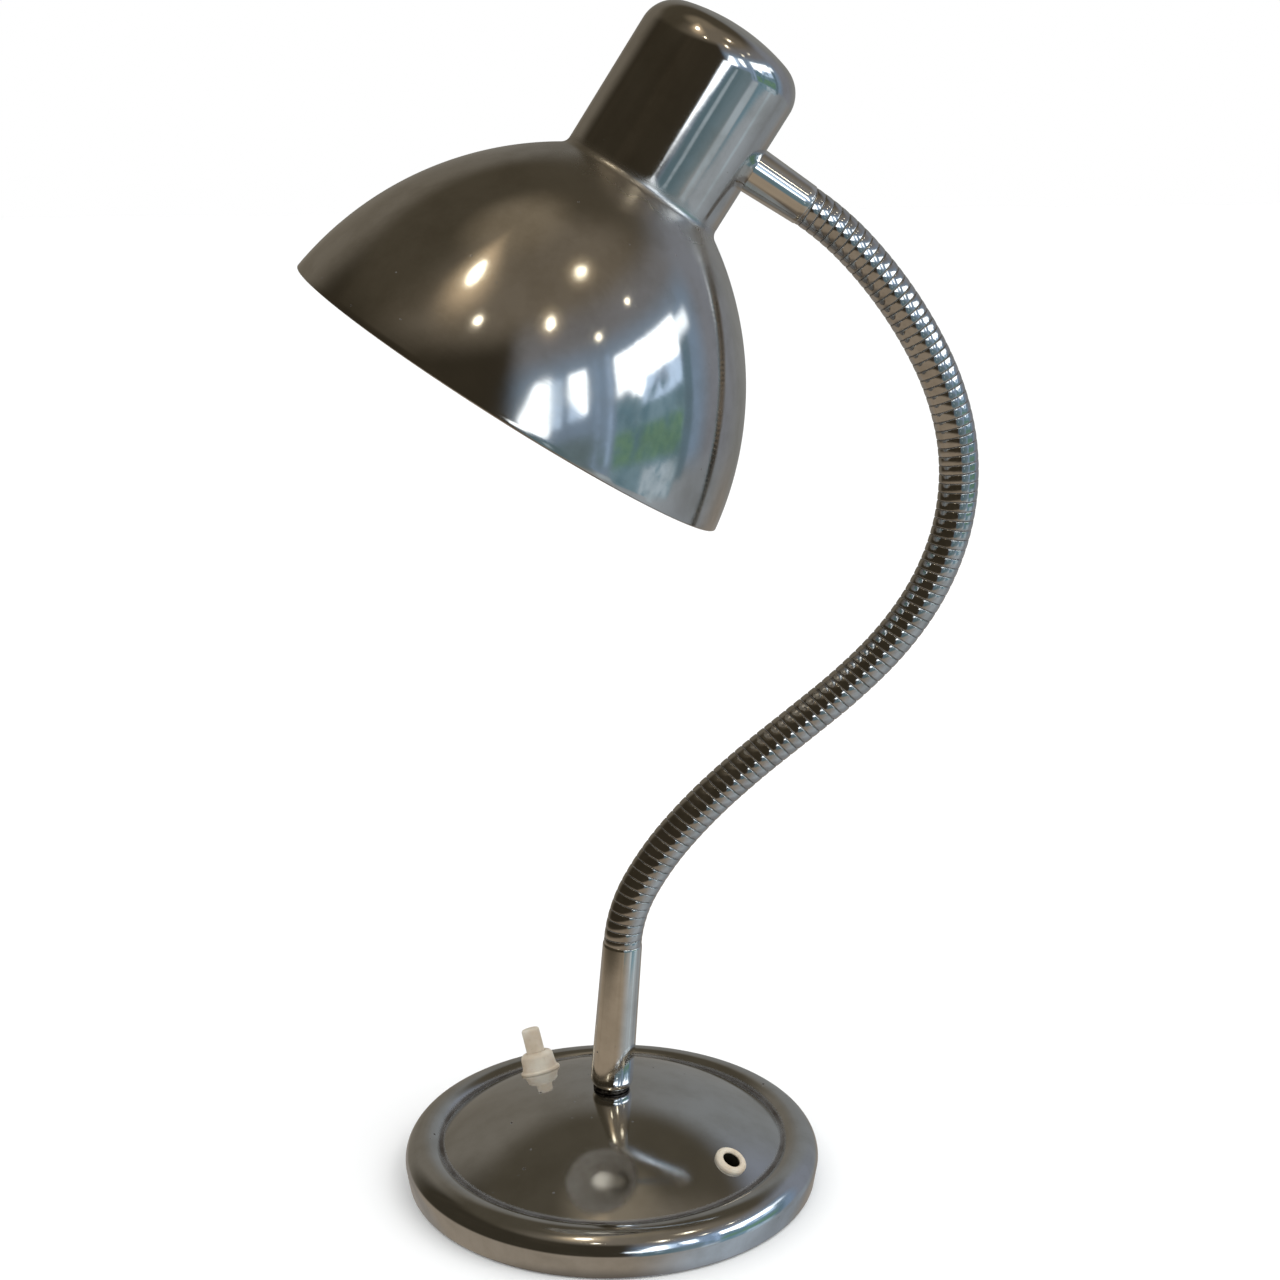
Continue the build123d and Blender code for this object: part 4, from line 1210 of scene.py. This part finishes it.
# %% [markdown]
# ## The room that the chrome mirrors
# A studio with plain white walls makes chrome look like grey paint. Metal needs something to
# mirror: dark warm walls, a bright window, small lamps in the ceiling. That room is painted on
# the sky, in directions round the lamp. Azimuth 0 is straight behind the camera, and azimuth
# grows towards the side to which the neck bulges.

# %% Directions and patches of sky
sky = bpy.data.worlds.new("studio")
bpy.context.scene.world = sky
air = Finish(sky)
look = air.node("ShaderNodeTexCoord", {}, {}, 0)
look_x, look_y, look_z = (air.node("ShaderNodeSeparateXYZ", {}, {0: look}, k) for k in range(3))
to_degrees = 180 / math.pi
azimuth = air.math("ARCTAN2", look_x, 0.0 - look_y) * to_degrees
elevation = air.math("ARCSINE", look_z) * to_degrees
chrome_share = 0.60


def seen(red, green, blue, times=1.0):
    """The light that chrome must mirror to look like this colour on a screen."""
    return tuple(v / chrome_share * times for v in colour(red, green, blue)[:3]) + (1.0,)


def box(left, right, low, high, soft):
    """A soft-edged patch of sky: four smooth steps multiplied."""
    across = azimuth.ramp(left - soft, left + soft) * azimuth.ramp(right + soft, right - soft)
    upward = elevation.ramp(low - soft, low + soft) * elevation.ramp(high + soft, high - soft)
    return across * upward


def painted(room, *layers):
    """The room with layers over it: each covers what is painted already by its share."""
    for share, tone in layers:
        room = air.mix(share, room, tone)
    return room


print("chrome mirrors %.0f%% of the light" % (100 * chrome_share))

# %% [markdown]
# ### Walls, ceiling and table
# The large areas come first, each with a broad soft edge, as chrome that isn't quite flat blurs
# them. The wall on the left is dark, the one round the windows bluish, and the far ones paler.
# The ceiling is light overhead and dark in the room's depth. The table is warm on the left,
# cool below the windows and dark straight below the lamp.

# %% Walls, ceiling and table
behind = azimuth.absolute().ramp(118, 148)
window_wall = air.mix(elevation.ramp(34, 20), seen(106, 106, 108), seen(112, 130, 150))
window_wall = air.mix(azimuth.ramp(96, 110), window_wall, seen(114, 117, 124))
far_wall = air.mix(look_x.ramp(-0.3, 0.6), seen(98, 92, 82), seen(112, 113, 112))
front_ceiling = azimuth.absolute().ramp(115, 70) * azimuth.ramp(-95, -25)
ceiling = air.mix(front_ceiling, seen(66, 60, 49), seen(100, 92, 80))
below_window = azimuth.ramp(0, 60)
table = painted(seen(126, 115, 101), (below_window, seen(140, 147, 153)),
                (azimuth.ramp(72, 108), seen(120, 125, 130)), (behind, seen(120, 114, 107)))
low_table = air.mix(below_window, seen(84, 77, 69), seen(112, 113, 115))
shadows = air.noise(look, 3.0, 3.0).ramp(0.45, 0.8) * 0.2
room = painted(seen(46, 41, 32), (azimuth.ramp(0, 12), window_wall), (behind, far_wall),
               (elevation.ramp(34, 50), ceiling), (elevation.ramp(69, 84), seen(112, 102, 86)),
               (elevation.ramp(-12, -20), table), (elevation.ramp(-47, -61), low_table),
               (shadows, seen(70, 62, 50)))
print("plain room:", len(air.tree.nodes), "nodes")

# %% [markdown]
# ### The garden beyond the windows
# Trees, a hedge and a pale path lie behind the panes, with a curtain's edge before them. Two
# noises break them up: one as coarse as leaves on a branch, one as fine as blossom.

# %% Garden
leaf = air.noise(look, 10.0, 3.0, 0.55)
blossom = air.noise(look, 30.0, 4.0, 0.6)
trees = air.mix(leaf.ramp(0.35, 0.62), seen(84, 110, 122), seen(108, 132, 144))
hedge = air.mix(blossom.ramp(0.35, 0.6), seen(80, 110, 102), seen(98, 128, 106))
curtain = box(47.6, 49.6, -12.0, 24.0, 0.6) + box(42.0, 43.5, -14.0, 24.0, 0.8) * 0.4
teal_wall = air.mix(azimuth.ramp(16, 34), seen(72, 92, 97), seen(94, 110, 115))
pale_strips = (box(15.5, 19.5, -9.0, -3.5, 0.8) + box(41.0, 51.0, -23.0, -17.0, 1.2)
               + box(74.0, 79.0, -30.0, -23.0, 1.0))
room = painted(room, (box(51.5, 89.0, -24.0, 8.0, 1.2), trees),
               (box(51.5, 88.0, -13.0, -2.5, 1.6) * leaf.ramp(0.3, 0.5), hedge),
               (box(68.0, 88.0, -24.0, -15.0, 1.6) * blossom.ramp(0.36, 0.52), seen(156, 170, 180)),
               (box(12.0, 50.0, -12.0, -2.5, 2.0) * leaf.ramp(0.4, 0.6) * 0.7, seen(84, 104, 100)),
               (curtain * 0.7, seen(150, 172, 200)), (box(7.0, 41.0, -19.0, 0.0, 1.8) * 0.85, teal_wall),
               (pale_strips * 0.8, seen(152, 165, 173)))
print("with the garden:", len(air.tree.nodes), "nodes")

# %% [markdown]
# ### The panes
# The sky is white in the upper panes, where it is brightest, and blue where trees stand behind
# the glass. Slanted lines and the leaf noise cut the panes' lower edges, as roofs and twigs do.

# %% Panes
tree_middle = 59.0
tree_line = elevation + leaf * 14.0 - (azimuth - tree_middle).absolute() * 0.35
blue_panes = (box(20.0, 27.0, 5.0, 21.5, 0.7) + box(30.0, 38.0, 6.5, 15.0, 0.8)
              + box(64.0, 87.5, 4.0, 13.5, 1.0) * leaf.ramp(0.3, 0.55))
white_panes = (box(8.5, 22.0, 3.0, 22.5, 0.7) * (azimuth * 1.6 - elevation).ramp(1.0, 3.0)
               + box(0.5, 10.0, 1.0, 7.5, 0.6) * (elevation + azimuth * 0.25).ramp(2.6, 3.6)
               + box(30.0, 38.0, 7.5, 22.0, 0.6) * (elevation + (azimuth - 34.0) * 1.2).ramp(8.0, 11.0)
               + box(51.8, 66.0, 6.0, 22.3, 0.7) * tree_line.ramp(14.5, 15.5)
               + box(64.0, 87.5, 12.0, 22.8, 0.8) + box(87.5, 97.0, 15.5, 20.5, 1.5) * 0.6)
post = box(88.5, 94.0, -20.0, 14.5, 0.7)
room = painted(room, (blue_panes, seen(182, 205, 232)), (white_panes, seen(238, 247, 255, 2.0)),
               (post * 0.9, seen(84, 104, 115)))
print("with the panes:", len(air.tree.nodes), "nodes")

# %% [markdown]
# ### Lamps in the ceiling
# Six small warm lamps give chrome its sparks. Each is a disc, full within its size, in a halo
# that falls off with the square of the distance. Angles on the sky are measured like places on
# a globe, so a step in azimuth shrinks with the cosine of the elevation.

# %% Ceiling lamps
def lamp_spot(turn, lift, size, stretch, halo):
    """A small lamp, stretched upwards: its disc and the halo round it."""
    aside = (azimuth - turn) * math.cos(math.radians(lift))
    above = (elevation - lift) / stretch
    away = air.math("SQRT", aside * aside + above * above)
    glow = away.ramp(halo, 0.0)
    return away.ramp(size * 1.15, size * 0.8), glow * glow


# azimuth, elevation, size, stretch and halo in degrees, and the halo's strength
spots = [(-33.5, 68.0, 2.3, 2.1, 13.5, 1.8), (-16.5, 49.7, 1.5, 1.0, 6.0, 0.5),
         (24.0, 42.8, 1.7, 1.3, 9.0, 0.7), (51.0, 56.2, 2.0, 1.0, 10.0, 0.9),
         (46.4, 31.3, 1.1, 1.0, 2.5, 0.3), (67.1, 36.7, 1.0, 1.0, 2.5, 0.3)]
for *shape, strength in spots:
    disc, shine = lamp_spot(*shape)
    room = painted(room, (shine * 0.6 * strength, seen(206, 182, 148)), (disc, seen(255, 246, 220, 4.0)))
print("lamps in the ceiling:", len(spots))

# %% [markdown]
# ### Which ray sees what
# A ray that leaves a matt surface finds an even studio sky, a ray from the camera a plain white
# one, and only a ray that chrome or another glossy surface mirrors finds the room.

# %% Sky
to_camera = air.node("ShaderNodeLightPath", {}, {}, "Is Camera Ray")
to_matt = air.node("ShaderNodeLightPath", {}, {}, "Is Diffuse Ray")
light = painted(room, (to_matt, (1.13, 1.14, 1.15, 1.0)), (to_camera, (1.0, 1.0, 1.0, 1.0)))
air.node("ShaderNodeOutputWorld", {}, {"Surface": air.node("ShaderNodeBackground", {}, {"Color": light})})
print("the sky has", len(air.tree.nodes), "nodes")

# %% [markdown]
# ## Floor and light
# The floor is a plain pale plane that takes only a soft contact shadow. It stays out of the
# chrome, which would otherwise turn white from below. One large soft lamp gives the shadow a
# direction. Both are as large as a room's furniture, so their sizes are in metres.

# %% Floor and lamp
floor_size = 6.0
corners = [(x * floor_size, y * floor_size, 0) for x, y in ((-1, -1), (1, -1), (1, 1), (-1, 1))]
floor_mesh = bpy.data.meshes.new("floor")
floor_mesh.from_pydata(corners, [], [(0, 1, 2, 3)])
floor = into_scene("floor", floor_mesh)


def write_floor(finish, place):
    """An even pale paint."""
    shade_of_white = finish.noise(place, 2.0, 2.0)
    return {"Base Color": finish.mix(shade_of_white, colour(240, 240, 240), colour(243, 243, 242)),
            "Roughness": 0.9, "Specular IOR Level": 0.0}


floor_mesh.materials.append(surface("pale_floor", write_floor))
floor.visible_glossy = False
lamp_data = bpy.data.lights.new("soft_light", "AREA")
lamp_data.shape = "DISK"
lamp_data.size = 1.6
lamp_data.energy = 9.0
lamp = into_scene("soft_light", lamp_data)
lamp.location = (0.9, -0.6, 1.7)
lamp.rotation_euler = (0.36, 0.46, 0.0)
lamp.visible_glossy = False
print("floor %.0f m across, lamp of %.0f W" % (2 * floor_size, lamp_data.energy))

# %% [markdown]
# ## Camera
# The camera stands where the photograph was taken: its place, direction and lens come from
# matching the round base, the rim and the neck in the picture. A lens is a sensor's width times
# its focal length in pixels over the frame's width in pixels.

# %% Camera
camera_place = np.array([-66.7, -650.6, 365.8])
camera_aim = unit([0.1142, 0.9598, -0.2564])
camera_roll = math.radians(-0.27)
focal_pixels = 2063.0
frame_pixels = 1280.0
sensor = 36.0
level_right = unit(np.cross(camera_aim, [0, 0, 1]))
level_up = np.cross(level_right, camera_aim)
right = math.cos(camera_roll) * level_right + math.sin(camera_roll) * level_up
above = math.cos(camera_roll) * level_up - math.sin(camera_roll) * level_right
camera_data = bpy.data.cameras.new("camera")
camera_data.sensor_width = sensor
camera_data.lens = sensor * focal_pixels / frame_pixels
camera_data.clip_start = 0.01
camera = into_scene("camera", camera_data)
matrix = np.eye(4)
matrix[:3] = np.stack([right, above, -camera_aim, camera_place * metre], -1)
camera.matrix_world = Matrix(matrix.tolist())
bpy.context.scene.camera = camera
bpy.context.scene.view_settings.view_transform = "Standard"
print("lens %.1f mm, %.2f m from the base" % (camera_data.lens, np.linalg.norm(camera_place) * metre))

# %% [markdown]
# ## Size and finish
# The dressed lamp must fill the same box as its solids.
